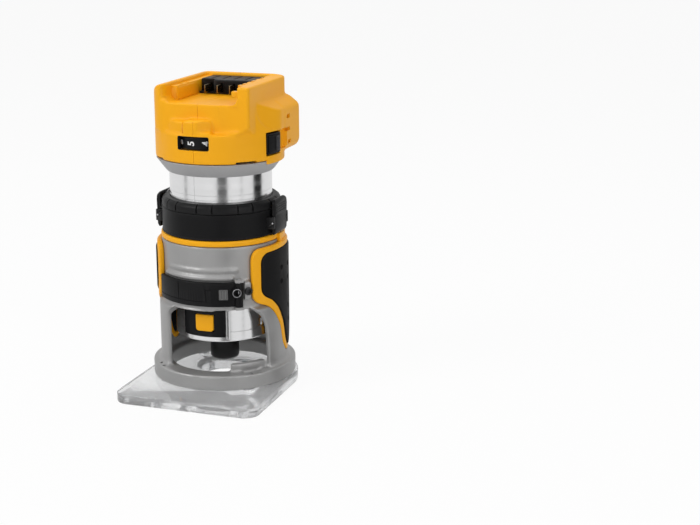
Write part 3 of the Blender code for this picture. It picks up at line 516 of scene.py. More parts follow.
def addCamera():
    turn, rise = radians(cameraSet["azimuth"]), radians(cameraSet["elevation"])
    target = Vector((0, spindleY, cameraSet["aimHeight"]))
    away = Vector((sin(turn) * cos(rise), -cos(turn) * cos(rise), sin(rise)))
    right = Vector((cos(turn), sin(turn), 0))
    up = right.cross(-away).normalized()
    aim = target + right * cameraSet["aside"] - up * cameraSet["down"]
    clearSelection()
    bpy.ops.object.camera_add(location=target + away * cameraSet["distance"])
    camera = bpy.context.object
    camera.rotation_euler = (aim - camera.location).to_track_quat("-Z", "Y").to_euler()
    camera.data.lens = cameraSet["lens"]
    camera.data.sensor_width = 36
    camera.data.clip_start = 0.01
    bpy.context.scene.camera = camera


lamps = [
    {"name": "keyLeft", "place": (-0.9, -0.9, 1.1), "size": 0.7, "power": 10.6},
    {"name": "fillRight", "place": (1.1, -0.7, 0.55), "size": 0.9, "power": 4.6},
    {"name": "frontSoft", "place": (0.2, -1.5, 0.5), "size": 1.0, "power": 1.9},
    {"name": "topSoft", "place": (0.0, 0.2, 1.4), "size": 1.0, "power": 8.0},
]


def addLamps():
    for lamp in lamps:
        clearSelection()
        bpy.ops.object.light_add(type="AREA", location=lamp["place"])
        light = bpy.context.object
        light.name = lamp["name"]
        light.data.size = lamp["size"]
        light.data.energy = lamp["power"]
        light.rotation_euler = (Vector((0, 0, 0.1)) - light.location).to_track_quat("-Z", "Y").to_euler()


worldSet = {"fill": 0.42, "fade": 1.5, "darkBands": [(-64, 11, 0.16), (24, 13, 0.02), (-152, 4, 0.55),
    (-20, 3, 0.75)]}


def addWorld():
    # plain pale surroundings; polished metal also sees a few dark strips, as in a product studio
    world = bpy.data.worlds.new("studio")
    bpy.context.scene.world = world
    world.use_nodes = True
    tree = world.node_tree
    tree.nodes.clear()
    out = tree.nodes.new("ShaderNodeOutputWorld")
    place = tree.nodes.new("ShaderNodeSeparateXYZ")
    tree.links.new(tree.nodes.new("ShaderNodeTexCoord").outputs["Generated"], place.inputs[0])
    angle = mathNode(tree, "ARCTAN2", place.outputs["Y"], place.outputs["X"])
    shine, fade = 1.0, worldSet["fade"]
    for middle, half, level in worldSet["darkBands"]:
        away = mathNode(tree, "ABSOLUTE", mathNode(tree, "SUBTRACT", angle, radians(middle)), 0)
        edge = tree.nodes.new("ShaderNodeMapRange")
        edge.interpolation_type = "SMOOTHSTEP"
        give(edge, {"From Min": radians(half - fade), "From Max": radians(half + fade), "To Min": level})
        tree.links.new(away, edge.inputs["Value"])
        shine = mathNode(tree, "MULTIPLY", edge.outputs["Result"], shine)
    path = tree.nodes.new("ShaderNodeLightPath")
    # inside the clear plate a reflection sees the plain surroundings
    through = mathNode(tree, "MINIMUM", path.outputs["Transmission Depth"], 1.0)
    shine = mathNode(tree, "MAXIMUM", shine, through)
    seen = mathNode(tree, "MAXIMUM", path.outputs["Is Camera Ray"], path.outputs["Is Transmission Ray"])
    glossy = path.outputs["Is Glossy Ray"]
    plain = mathNode(tree, "MULTIPLY", mathNode(tree, "SUBTRACT", 1.0, seen),
        mathNode(tree, "SUBTRACT", 1.0, glossy))
    plain = mathNode(tree, "MULTIPLY", plain, worldSet["fill"])
    shine = mathNode(tree, "MULTIPLY", glossy, shine)
    strength = mathNode(tree, "ADD", seen, mathNode(tree, "ADD", plain, shine))
    back = tree.nodes.new("ShaderNodeBackground")
    tree.links.new(mathNode(tree, "MINIMUM", strength, 1.0), back.inputs["Strength"])
    tree.links.new(back.outputs[0], out.inputs["Surface"])


def addFloor():
    clearSelection()
    bpy.ops.mesh.primitive_plane_add(size=30, location=(0, 0, -0.0002))
    floor = named("floor")
    made = bpy.data.materials.new("paleFloor")
    made.use_nodes = True
    tree = made.node_tree
    shader = tree.nodes["Principled BSDF"]
    give(shader, {"Base Color": (0.80, 0.80, 0.80, 1), "Roughness": 0.9, "Specular IOR Level": 0.0})
    glow = give(tree.nodes.new("ShaderNodeEmission"), {"Strength": 1.0})
    path = tree.nodes.new("ShaderNodeLightPath")
    seen = mathNode(tree, "MAXIMUM", path.outputs["Is Camera Ray"],
        mathNode(tree, "MAXIMUM", path.outputs["Is Transmission Ray"], path.outputs["Is Glossy Ray"]))
    blend = tree.nodes.new("ShaderNodeMixShader")
    tree.links.new(mathNode(tree, "MULTIPLY", seen, 0.93), blend.inputs[0])
    tree.links.new(shader.outputs[0], blend.inputs[1])
    tree.links.new(glow.outputs[0], blend.inputs[2])
    tree.links.new(blend.outputs[0], tree.nodes["Material Output"].inputs["Surface"])
    floor.data.materials.append(made)
    # polished metal looks past the floor at the strips
    floor.visible_glossy = False


addCamera()
addLamps()
addWorld()
addFloor()
bpy.context.scene.view_settings.view_transform = "Standard"
print("stage ready")

plateLow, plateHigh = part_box("sub_base")
castLow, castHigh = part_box("base_casting")
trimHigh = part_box("base_trim")[1]
collarLow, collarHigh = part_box("release_collar")
ringLow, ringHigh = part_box("depth_ring")
leverLow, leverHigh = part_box("clamp_lever")
screwTurns = (45, 135, 225, 315)

plateSet = {"corner": 0.010, "edge": 0.0007, "hole": 0.0165, "screwRing": 0.0430, "screwHole": 0.0024,
    "sinkHole": 0.0041}


def makePlate():
    half = plateHigh.x
    front = plateLow.y
    corner = plateSet["corner"]
    points = [(half * cos(radians(a)), spindleY + half * sin(radians(a))) for a in range(0, 181, 3)]
    points += quarter(-half, front, corner, corner, 9) + quarter(half, front, -corner, corner, 9, True)
    plate = slab("clearPlate", points, plateLow.z, plateHigh.z)
    cut(plate, rod("hole", plateSet["hole"], (0, spindleY, -0.01), (0, spindleY, 0.02), 96))
    roundEdges(plate, plateSet["edge"], 3, 60)
    for turn in screwTurns:
        cut(plate, post("screwWay", plateSet["screwHole"], plateSet["screwRing"], turn, -0.01, 0.02))
        cut(plate, post("screwSink", plateSet["sinkHole"], plateSet["screwRing"], turn, -0.01,
            plateHigh.z / 2))
    keep(plate, "base", "clear_acrylic", ["sub_base"])


screwSet = {"head": 0.0038, "headLow": 0.0010, "headHigh": 0.0034, "shank": 0.0021, "top": 0.0140,
    "socket": 0.0019, "socketDeep": 0.0014, "edge": 0.0003}


def makePlateScrews():
    s = screwSet
    for i, turn in enumerate(screwTurns):
        x, y = around(plateSet["screwRing"], turn, 0).xy
        screw = lathe(f"plateScrew{i + 1}", [(0, s["headLow"]), (s["head"], s["headLow"]),
            (s["head"], s["headHigh"]), (s["shank"], s["headHigh"] + 0.0008), (s["shank"], s["top"]),
            (0, s["top"])], 40, (x, y))
        roundEdges(screw, s["edge"], 2)
        cut(screw, rod("socket", s["socket"], (x, y, 0), (x, y, s["headLow"] + s["socketDeep"]), 6))
        keep(screw, "base", "zinc_steel", [f"sub_base_screw_{i + 1}"])


castSet = {"flangeR": 0.04907, "flangeTop": 0.017, "openingR": 0.0367, "legR": 0.04375, "chamberR": 0.04075,
    "shoulder": 0.060, "sleeveR": 0.0410, "boreR": 0.0348, "windowTop": 0.0595, "legFoot": 0.0028,
    "windowLeft": -126.5, "windowRight": -23.4, "voxel": 0.00078, "melt": 4,
    "ridges": [(-131, -57, 0.0812, 0.0838, 0.0017), (-128, -53, 0.0866, 0.0884, 0.0010)],
    "boss": (-48.1, -41.9), "bossR": 0.0443, "pinTurn": -53.0, "pinR": 0.0443, "pinHole": 0.0015,
    "earHalf": 3.6, "earThick": 0.0018, "earR": 0.0461, "boltTurn": -45.0, "boltZ": 0.0738,
    "boltHole": 0.0023, "lug": (-61, -25, 0.0168, 0.0226, 0.0372, 0.0410),
    "recess": (-51, -31, 0.0405, 0.0475), "recessDeep": 0.0012, "drillR": 0.0011,
    "drills": [(-135.8, 0.0462), (-128.5, 0.0468), (-43, 0.0445)], "pocketDeep": 0.0004, "bridgeHalf": 13,
    "bridgeLow": 0.098, "threadR": 0.0024, "threadTop": 0.0145, "root": 0.001}


def gripShape(side, half):
    centre = sideTurn(1)
    whole = [(centre - turn, height) for turn, height in half]
    whole += [(centre + turn, height) for turn, height in reversed(half[1:-1])]
    return whole if side > 0 else [(180 - turn, height) for turn, height in reversed(whole)]


gripOuter = [(0, 0.0224), (4, 0.0235), (11.3, 0.0303), (16, 0.044), (25, 0.0543), (33, 0.060), (47, 0.064),
    (51, 0.069), (51, 0.096), (46, 0.1010), (0, 0.1022)]
gripInner = [(0, 0.0260), (3, 0.0275), (7, 0.0330), (11.5, 0.0455), (20, 0.0570), (29, 0.0640),
    (38, 0.0675), (42, 0.0715), (42, 0.0935), (37, 0.0975), (0, 0.0985)]


def grown(outlinePoints, width):
    # the outline of (degrees, height) moved outwards, or inwards when negative
    flat = [Vector((radians(t) * castSet["sleeveR"], z)) for t, z in outlinePoints]
    area = sum(a.x * b.y - a.y * b.x for a, b in zip(flat, flat[1:] + flat[:1]))
    way = -1 if area > 0 else 1
    moved = []
    for i, here in enumerate(flat):
        before = (here - flat[i - 1]).normalized()
        after = (flat[(i + 1) % len(flat)] - here).normalized()
        sides = [Vector((-d.y, d.x)) * way for d in (before, after)]
        shift = (sides[0] + sides[1]) * width / (1 + sides[0].dot(sides[1]))
        moved.append((degrees((here.x + shift.x) / castSet["sleeveR"]), here.y + shift.y))
    return moved


def windowShape():
    s = castSet
    right, left, top = s["windowRight"], s["windowLeft"], s["windowTop"]
    return [(left, s["flangeTop"]), (right, s["flangeTop"]), (right, 0.034), (right - 1.6, 0.045),
            (right - 6.6, 0.0545), (right - 16, top + 0.001), (left + 6, top), (left, top - 0.0045)]


def makeCasting():
    s = castSet
    out, low = s["sleeveR"], castLow.z
    casting = lathe("baseCasting", [(out, castHigh.z), (out, s["shoulder"] + 0.001),
        (s["legR"], s["shoulder"] - 0.001), (s["legR"], s["flangeTop"] + s["legFoot"]),
        (s["legR"] + s["legFoot"] / 3, s["flangeTop"] + s["legFoot"] / 3),
        (s["legR"] + s["legFoot"], s["flangeTop"]), (s["flangeR"], s["flangeTop"]), (s["flangeR"], low),
        (s["openingR"], low), (s["openingR"], s["flangeTop"]), (s["chamberR"], s["flangeTop"]),
        (s["chamberR"], s["windowTop"] - 0.006), (s["boreR"], s["windowTop"] - 0.002),
        (s["boreR"], castHigh.z)], 144)
    # the low ridges over the lever, the bolt boss and the ears of the lever's pin
    for *sides, proud in s["ridges"]:
        join(casting, bent("ridge", sides, out - s["root"], out + proud, 0.0006))
    join(casting, bent("boss", (*s["boss"], leverLow.z + 0.004, leverHigh.z), out - s["root"], s["bossR"],
        0.001))
    cut(casting, wrap("window", windowShape(), s["openingR"] + 0.0018, 0.056, 0.003))
    cut(casting, wrap("windowInner", windowShape(), 0.028, s["openingR"] + 0.0023, 0.003))
    *sides, inside, outside = s["lug"]
    join(casting, bent("lug", sides, inside, outside, 0.0006))
    left, right, inside, outside = s["recess"]
    cut(casting, bent("recess", (left, right, s["flangeTop"] - s["recessDeep"], s["flangeTop"] + 0.002),
        inside, outside, 0.0004))
    soften(casting, s["voxel"], s["melt"])
    for zLow in (leverLow.z - play - s["earThick"], leverHigh.z + play):
        sides = (s["pinTurn"] - s["earHalf"], s["pinTurn"] + s["earHalf"], zLow, zLow + s["earThick"])
        join(casting, bent("ear", sides, out - s["root"], s["earR"], 0.0004))
    for side in (1, -1):
        cut(casting, wrap("pocket", grown(gripShape(side, gripOuter), 0.0001), out - s["pocketDeep"],
            pastSkin, 0.003))
        sides = (sideTurn(side) - s["bridgeHalf"], sideTurn(side) + s["bridgeHalf"], s["bridgeLow"], 0.12)
        cut(casting, bent("bridgeWay", sides, out - s["pocketDeep"] - 0.001, pastSkin))
    cut(casting, post("pinWay", s["pinHole"], s["pinR"], s["pinTurn"], 0.05, 0.095, 24))
    cut(casting, spoke("boltWay", s["boltHole"], s["boltTurn"], s["boltZ"], out - 0.0035, pastSkin))
    for turn, radius in s["drills"]:
        cut(casting, post("drill", s["drillR"], radius, turn, 0.012, 0.03, 24))
    for turn in screwTurns:
        cut(casting, post("thread", s["threadR"], plateSet["screwRing"], turn, 0.0, s["threadTop"], 24))
    keep(casting, "base", "cast_aluminium", ["base_casting"], 40)


trimSet = {"outer": 0.0443, "corner": 0.0035, "edge": 0.0009, "ringEdge": 0.0004, "bridgeHalf": 12,
    "bridgeLow": 0.1000, "bridgeBack": 0.0015, "reveal": 0.0003}


def makeTrim():
    s, out = trimSet, castSet["sleeveR"]
    trim = lathe("yellowTrim", [
        (out, trimHigh.z), (out + 0.0003, trimHigh.z - 0.0018), (out, castHigh.z + play),
        (castSet["boreR"], castHigh.z + play), (castSet["boreR"], trimHigh.z)], 128)
    roundEdges(trim, s["ringEdge"], 2)
    for side in (1, -1):
        middle = sideTurn(side)
        sides = (middle - s["bridgeHalf"], middle + s["bridgeHalf"], s["bridgeLow"], trimHigh.z - 0.0004)
        join(trim, bent("bridge", sides, out - 0.0011, s["outer"] - s["bridgeBack"], 0.0004, 0.0004,
            0.0021))
        band = wrap("band", grown(gripShape(side, gripOuter), -s["reveal"]), out - 0.0001, s["outer"],
            s["corner"], s["edge"])
        cut(band, wrap("bandHole", gripShape(side, gripInner), 0.036, nearSkin, s["corner"], 0, 0.0023))
        join(trim, band)
    keep(trim, "base", "yellow_plastic", ["base_trim"], 40)


gripSet = {"outer": 0.0452, "corner": 0.0035, "edge": 0.0013, "reveal": 0.0005, "dimpleR": 0.0022,
    "dimpleAt": 0.0462, "dimples": [(0, 0.045), (0, 0.055), (-16, 0.075), (0, 0.075), (16, 0.075),
    (-16, 0.0845), (0, 0.0845), (16, 0.0845)]}


def makeGrips():
    s = gripSet
    for name, node, side in (("gripRightPad", "grip_right", 1), ("gripLeftPad", "grip_left", -1)):
        pad = wrap(name, grown(gripShape(side, gripInner), -s["reveal"]), castSet["sleeveR"] - 0.0001,
            s["outer"], s["corner"], s["edge"])
        for shift, height in s["dimples"]:
            clearSelection()
            bpy.ops.mesh.primitive_uv_sphere_add(segments=24, ring_count=12, radius=s["dimpleR"],
                location=around(s["dimpleAt"], sideTurn(side) + shift, height))
            cut(pad, applyPlace(named("dimple")))
        keep(pad, "base", "grip_rubber", [node], 45)


leverSet = {"start": -54.0, "end": -139.0, "inner": 0.0413, "thick": 0.0026, "corner": 0.0024,
    "edge": 0.0006, "pinTurn": -53.0, "pinR": 0.0443, "knuckle": 0.0026, "pinHole": 0.0015, "pin": 0.0012,
    "patch": (-70.4, -62.7, 0.0687, 0.0756), "patchProud": 0.0006, "ribs": (-69.2, -67.0, -64.8),
    "grooves": [(-137.0, -82.0, 0.0670, 0.0674), (-109.6, -109.0, 0.0674, 0.0790),
    (-82.6, -81.8, 0.0670, 0.0752), (-82.6, -77.0, 0.0750, 0.0754)], "grooveDeep": 0.0004,
    "bossTurn": -55.6, "bossZ": 0.0737, "bossR": 0.0031, "bossIn": 0.0431, "bossOut": 0.0472,
    "socket": 0.0019, "socketDeep": 0.0028, "rimR": 0.0027, "rimThick": 0.00035}


def makeLever():
    s = leverSet
    outer = s["inner"] + s["thick"]
    lever = bent("clampLever", (s["end"], s["start"], leverLow.z, leverHigh.z), s["inner"], outer,
        s["corner"], s["edge"])
    for sides in s["grooves"]:
        cut(lever, bent("groove", sides, outer - s["grooveDeep"], outer + 0.002, 0, 0, 0.0022))
    knuckle = post("knuckle", s["knuckle"], s["pinR"], s["pinTurn"], leverLow.z, leverHigh.z, 48)
    join(lever, roundEdges(knuckle, 0.0003, 2))
    turn, height = s["bossTurn"], s["bossZ"]
    boss = spoke("boss", s["bossR"], turn, height, s["bossIn"], s["bossOut"], 48)
    join(lever, roundEdges(boss, 0.0004, 2))
    inner, past = s["bossOut"] - s["socketDeep"], s["bossOut"] + 0.002
    cut(lever, spoke("socket", s["socket"], turn, height, inner, past, 6))
    cut(lever, post("pinWay", s["pinHole"], s["pinR"], s["pinTurn"], 0.05, 0.095, 24))
    keep(lever, "clamp_lever", "black_plastic", ["clamp_lever"])
    low, high = s["patch"][2] + 0.0008, s["patch"][3] - 0.0008
    patch = bent("leverPatch", s["patch"], outer - 0.0005, outer + s["patchProud"], 0.0006, 0.0002)
    for turn in s["ribs"]:
        join(patch, bent("rib", (turn - 0.5, turn + 0.5, low, high), outer - 0.0004,
            outer + s["patchProud"] + 0.0003, 0.0002))
    keep(patch, "clamp_lever", "black_plastic", (), 35, midGrey)
    clearSelection()
    bpy.ops.mesh.primitive_torus_add(major_radius=s["rimR"], minor_radius=s["rimThick"], major_segments=48,
        minor_segments=12, location=around(s["bossOut"], s["bossTurn"], height),
        rotation=(pi / 2, 0, radians(90 + s["bossTurn"])))
    keep(applyPlace(named("socketRim")), "clamp_lever", "zinc_steel", (), 35, dullSteel)


hardwareSet = {"earThick": 0.0018, "edge": 0.0002, "boltTurn": -45.0, "boltZ": 0.0738, "boltR": 0.0020,
    "boltIn": 0.0378, "headR": 0.0027, "headIn": 0.0444, "headOut": 0.0462, "socket": 0.0015,
    "socketDeep": 0.0012}


def makeLeverHardware():
    s, l = hardwareSet, leverSet
    pin = post("leverPin", l["pin"], l["pinR"], l["pinTurn"], leverLow.z - play - s["earThick"],
        leverHigh.z + play + s["earThick"])
    keep(roundEdges(pin, s["edge"], 2), "base", "zinc_steel", ["lever_pin"])
    turn, height = s["boltTurn"], s["boltZ"]
    bolt = spoke("clampBolt", s["boltR"], turn, height, s["boltIn"], s["headIn"] + 0.0004, 40)
    head = spoke("head", s["headR"], turn, height, s["headIn"], s["headOut"], 48)
    join(bolt, roundEdges(head, 0.0004, 2))
    inner, past = s["headOut"] - s["socketDeep"], s["headOut"] + 0.002
    cut(bolt, spoke("socket", s["socket"], turn, height, inner, past, 6))
    keep(bolt, "base", "black_steel", ["clamp_bolt"])


collarSet = {"outer": 0.0404, "bore": 0.0348, "lip": 0.0012, "tabX": 0.0420,
    "tabHalf": 0.0105, "earDeep": 0.0022, "earHalf": 0.0040, "earIn": 0.0045, "earOut": 0.0013,
    "pinR": 0.0006, "pinHole": 0.0009, "gap": 0.0003}


def makeCollar():
    s = collarSet
    low, high = collarLow.z, collarHigh.z
    collar = lathe("releaseCollar", [(s["bore"], low), (s["outer"] - 0.0005, low),
        (s["outer"], low + 0.0006), (s["outer"], low + s["lip"]),
        (s["outer"] - 0.0003, low + s["lip"] + 0.0003), (s["outer"] - 0.0003, high - 0.0006),
        (s["outer"] - 0.0009, high), (s["bore"], high)], 160)
    pinZ = (low + high) / 2
    inside = s["tabHalf"] + s["gap"]
    reach = inside + s["earDeep"]
    for side in (1, -1):
        for end in (1, -1):
            near, far = sorted((end * inside, end * reach))
            inner, outer = sorted((side * (s["outer"] - s["earIn"]), side * (s["tabX"] + s["earOut"])))
            ear = box("ear", (inner, spindleY + near, pinZ - s["earHalf"]),
                (outer, spindleY + far, pinZ + s["earHalf"]))
            join(collar, roundEdges(ear, 0.0006, 3))
        cut(collar, rod("pinWay", s["pinHole"], (side * s["tabX"], spindleY - 0.02, pinZ),
            (side * s["tabX"], spindleY + 0.02, pinZ), 20))
    keep(collar, "base", "black_plastic", ["release_collar"])
    for name, side in (("right", 1), ("left", -1)):
        pin = rod(f"{name}TabPin", s["pinR"], (side * s["tabX"], spindleY - reach, pinZ),
            (side * s["tabX"], spindleY + reach, pinZ), 24)
        keep(roundEdges(pin, 0.0001, 2), "base", "zinc_steel", [f"release_pin_{name}"])


# the tab's section: distance from its pin outwards, height over its pin
tabSet = {"section": [(-0.0011, -0.0084), (0.0002, -0.0084), (0.0011, -0.0066), (0.0013, -0.0030),
    (0.0010, 0.0), (0.0013, 0.0040), (0.0015, 0.0100), (0.0012, 0.0135), (0.0002, 0.0152),
    (-0.0009, 0.0152), (-0.0011, 0.0140)], "corner": 0.0034, "edge": 0.0004,
    "ridges": (0.0062, 0.0078, 0.0094, 0.0110), "ridgeR": 0.0005, "ridgeOut": 0.0013, "ridgeIn": 0.0025,
    "wireR": 0.00035, "wireIn": 0.0011,
    "wire": [(-0.0096, 0.0012), (-0.0092, 0.0070), (-0.0070, 0.0112), (-0.0020, 0.0138), (0.0050, 0.0146)]}


def makeTabs():
    s, c = tabSet, collarSet
    pinZ = (collarLow.z + collarHigh.z) / 2
    for name, side in (("right", 1), ("left", -1)):
        x = side * c["tabX"]
        tab = across(f"{name}Tab", [(x + side * out, pinZ + up) for out, up in s["section"]],
            spindleY - c["tabHalf"], spindleY + c["tabHalf"])
        # its top corners are round when seen from the side
        top = pinZ + s["section"][-2][1]
        for end in (1, -1):
            centre = (spindleY + end * (c["tabHalf"] - s["corner"]), top - s["corner"])
            corner = box("corner", (x - 0.01, min(centre[0], centre[0] + end * 0.01), centre[1]),
                (x + 0.01, max(centre[0], centre[0] + end * 0.01), top + 0.01))
            cut(corner, rod("cornerRound", s["corner"], (x - 0.02, *centre), (x + 0.02, *centre), 64))
            cut(tab, corner)
        roundEdges(tab, s["edge"], 2, 40)
        for up in s["ridges"]:
            skin = x + side * s["ridgeOut"]
            join(tab, rod("ridge", s["ridgeR"], (skin, spindleY - c["tabHalf"] + s["ridgeIn"], pinZ + up),
                (skin, spindleY + c["tabHalf"] - s["ridgeIn"], pinZ + up), 16))
        cut(tab, rod("pinWay", c["pinHole"], (x, spindleY - 0.02, pinZ), (x, spindleY + 0.02, pinZ), 20))
        keep(tab, f"release_tab_{name}", "black_plastic", [f"release_tab_{name}"])
        points = [(x - side * s["wireIn"], spindleY + along, pinZ + up) for along, up in s["wire"]]
        keep(wire(f"{name}TabWire", points, s["wireR"]), f"release_tab_{name}", "zinc_steel")


# the grip notches repeat every 40 degrees, a wide and a narrow rib in turn
ringSet = {"outer": 0.0400, "bore": 0.0348, "taper": 0.0025, "notches": (-90.9, -75.5), "repeat": 40,
    "notchDeep": 0.0008, "notchWide": 0.0009, "pairs": 9}


def makeDepthRing():
    s = ringSet
    low, high = ringLow.z, ringHigh.z
    wheel = lathe("depthRing", [(s["bore"], low), (s["outer"] - 0.0003, low), (s["outer"], low + 0.0003),
        (s["outer"], high - 0.0026), (s["outer"] - 0.0006, high - 0.0014), (s["outer"] - s["taper"], high),
        (s["bore"], high)], 180)
    for k in range(s["pairs"]):
        for turn in s["notches"]:
            place = turn + k * s["repeat"]
            notch = box("notch", (-s["notchDeep"] / 2, -s["notchWide"] / 2, low + 0.0006),
                (s["notchDeep"] * 2, s["notchWide"] / 2, high + 0.002))
            spin = radians(place)
            reach = s["outer"] - s["notchDeep"] / 2
            for vertex in notch.data.vertices:
                x, y = vertex.co.x + reach, vertex.co.y
                lean = max(0.0, (vertex.co.z - high + 0.002) / 0.004) * s["taper"]
                x -= lean
                vertex.co = (x * cos(spin) - y * sin(spin), spindleY + x * sin(spin) + y * cos(spin),
                    vertex.co.z)
            cut(wheel, notch)
    keep(wheel, "depth_ring", "black_plastic", ["depth_ring"])


noseLow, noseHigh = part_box("nose_housing")
buttonLow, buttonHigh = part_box("spindle_lock_button")
nutLow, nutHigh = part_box("collet_nut")
flangeLow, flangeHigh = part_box("head_flange")

canSet = {"wall": 0.0025, "grooves": (0.1366, 0.1333), "grooveDeep": 0.0003, "grooveHalf": 0.0003,
    "seam": -97.0, "seamHalf": 0.20, "seamDeep": 0.0003, "seamLow": 0.118, "seamHigh": 0.1500,
    "edge": 0.0003}


def makeCan():
    s = canSet
    profile = [(canR, canHigh.z - s["edge"])]
    for height in s["grooves"]:
        half = s["grooveHalf"]
        profile += [(canR, height + half), (canR - s["grooveDeep"], height + half / 2),
            (canR - s["grooveDeep"], height - half / 2), (canR, height - half)]
    profile += [(canR, canLow.z + s["edge"]), (canR - s["edge"], canLow.z), (canR - s["wall"], canLow.z),
        (canR - s["wall"], canHigh.z), (canR - s["edge"], canHigh.z)]
    can = lathe("motorCan", profile, 192)
    sides = (s["seam"] - s["seamHalf"], s["seam"] + s["seamHalf"], s["seamLow"], s["seamHigh"])
    cut(can, bent("seam", sides, canR - s["seamDeep"], canR + 0.002, 0, 0, 0.0031))
    keep(can, "motor", "turned_aluminium", ["motor_can"], 30)


noseSet = {"radius": 0.0329, "mouth": 0.0130, "seat": 0.0113, "spigot": 0.0317, "step": 0.0430,
    "stepDeep": 0.0005, "bearingLow": 0.0500, "bearingHigh": 0.0570, "throat": 0.0078, "edge": 0.0008,
    "panel": (-119.7, -64.9, 0.0396), "frame": (-64.2, -60.2, 0.0378), "panelSpare": 0.4, "panelIn": 0.0274,
    "panelOut": 0.0331, "pocket": 0.0036, "notch": (-24.0, -15.0, 0.0440, 0.0492), "lensRing": 0.0225,
    "lensTurns": (30, 150, 270), "lensR": 0.0025, "lensHigh": 0.0021}


def makeNose():
    s = noseSet
    low, step = noseLow.z, canLow.z - play
    nose = lathe("noseHousing", [(s["spigot"], noseHigh.z), (s["spigot"], step), (s["radius"], step),
        (s["radius"], s["step"] + 0.0006), (s["radius"] - s["stepDeep"], s["step"] + 0.0004),
        (s["radius"] - s["stepDeep"], s["step"]), (s["radius"], s["step"] - 0.0004),
        (s["radius"], low + s["edge"]), (s["radius"] - s["edge"], low), (s["mouth"], low),
        (s["mouth"], s["bearingLow"] - 0.002), (s["throat"], s["bearingLow"] - play),
        (s["seat"], s["bearingLow"] - play), (s["seat"], s["bearingHigh"]),
        (s["spigot"] - 0.003, s["bearingHigh"]), (s["spigot"] - 0.003, noseHigh.z)], 160)
    left, right, panelLow = s["panel"]
    spare = s["panelSpare"]
    cut(nose, bent("panelWay", (left - spare, right + spare, panelLow - play, 0.08), s["panelIn"], nearSkin))
    buttonWide = buttonHigh.x + play
    cut(nose, box("buttonWay", (-buttonWide, spindleY - 0.04, buttonLow.z - play),
        (buttonWide, spindleY - s["panelIn"] + s["pocket"], buttonHigh.z + play)))
    bore, height = panelSet["plunger"] + play, panelSet["plungerZ"]
    cut(nose, rod("plungerWay", bore, (0, spindleY - 0.04, height), (0, spindleY, height), 24))
    cut(nose, bent("notch", s["notch"], s["radius"] - 0.0010, nearSkin, 0.0012))
    for i, turn in enumerate(s["lensTurns"]):
        x, y = around(s["lensRing"], turn, 0).xy
        cut(nose, rod("lensWay", s["lensR"] + play, (x, y, low - 0.01), (x, y, low + s["lensHigh"] + play),
            32))
        lens = lathe(f"ledLens{i + 1}", [(0, low), (s["lensR"] - 0.0003, low), (s["lensR"], low + 0.0003),
            (s["lensR"], low + s["lensHigh"]), (0, low + s["lensHigh"])], 32, (x, y))
        keep(lens, "motor", "lens_clear", [f"led_lens_{i + 1}"])
    join(nose, bent("frame", (*s["frame"], step - 0.0005), s["radius"] - 0.002, s["radius"] + 0.0006,
        0.0004, 0.0002))
    keep(nose, "motor", "turned_aluminium", ["nose_housing"], 30)


panelSet = {"edge": 0.0004, "buttonEdge": 0.0007, "buttonCorner": 0.0022, "plunger": 0.0016,
    "plungerZ": 0.0455, "plungerEnd": 0.0136, "proud": 0.0006}


def makeLock():
    n, s = noseSet, panelSet
    panel = bent("lockPanel", (*n["panel"], canLow.z - 0.0006), n["panelIn"] + play, n["panelOut"], 0.0008,
        s["edge"])
    cut(panel, box("buttonWay", (buttonLow.x - play, spindleY - 0.05, buttonLow.z - play),
        (buttonHigh.x + play, spindleY, buttonHigh.z + play)))
    keep(panel, "motor", "black_plastic", ["lock_panel"])
    low, high, corner = buttonLow.z, buttonHigh.z, s["buttonCorner"]
    face = [(buttonHigh.x, high), (buttonLow.x, high)]
    face += quarter(buttonLow.x, low, corner, corner, 15) + quarter(buttonHigh.x, low, -corner, corner, 15,
        True)
    front = spindleY - n["panelOut"] - s["proud"]
    button = across("lockButton", face, front, spindleY - n["panelIn"] - 0.0006)
    roundEdges(button, s["buttonEdge"], 3, 50)
    join(button, rod("plunger", s["plunger"], (0, spindleY - n["panelIn"] - 0.0012, s["plungerZ"]),
        (0, spindleY - s["plungerEnd"], s["plungerZ"]), 24))
    keep(button, "spindle_lock_button", "yellow_plastic", ["spindle_lock_button"])


nutSet = {"edge": 0.0024, "bore": 0.0048, "seat": 0.0082, "threadR": 0.0069, "groove": (0.0300, 0.0306),
    "grooveDeep": 0.0003}


def makeNut():
    s = nutSet
    outer = (nutHigh.x - nutLow.x) / 2
    low, high = nutLow.z, nutHigh.z
    grooveLow, grooveTop = s["groove"]
    inner = outer - s["grooveDeep"]
    nut = lathe("colletNut", [(inner, high), (outer, high - s["grooveDeep"]), (outer, grooveTop),
        (inner, grooveTop), (inner, grooveLow), (outer, grooveLow),
        *quarter(outer, low, -s["edge"], s["edge"], 15), (s["bore"], low), (s["bore"], low + s["seat"]),
        (s["threadR"], low + s["seat"]), (s["threadR"], high)], 96)
    keep(nut, "spindle", "black_steel", ["collet_nut"])


flangeSet = {"coneLow": 0.1493, "coneLowR": 0.03606, "top": 0.0427, "edge": 0.0007, "seat": 0.0113,
    "wall": 0.003, "drop": 0.004}


def makeFlange():
    s = flangeSet
    deckLow, deckTop = flangeLow.z + s["drop"], flangeHigh.z
    flange = lathe("headFlange", [(s["top"] - 0.0003, deckTop), (s["top"], deckTop - 0.0004),
        (s["coneLowR"] + s["edge"], s["coneLow"] + s["edge"]), (s["coneLowR"], s["coneLow"]),
        (canR + play, s["coneLow"]), (canR + play, deckLow), (s["seat"] + s["wall"], deckLow),
        (s["seat"] + s["wall"], flangeLow.z), (s["seat"], flangeLow.z), (s["seat"], deckTop)], 160)
    keep(flange, "motor", "grey_plastic", ["head_flange"])


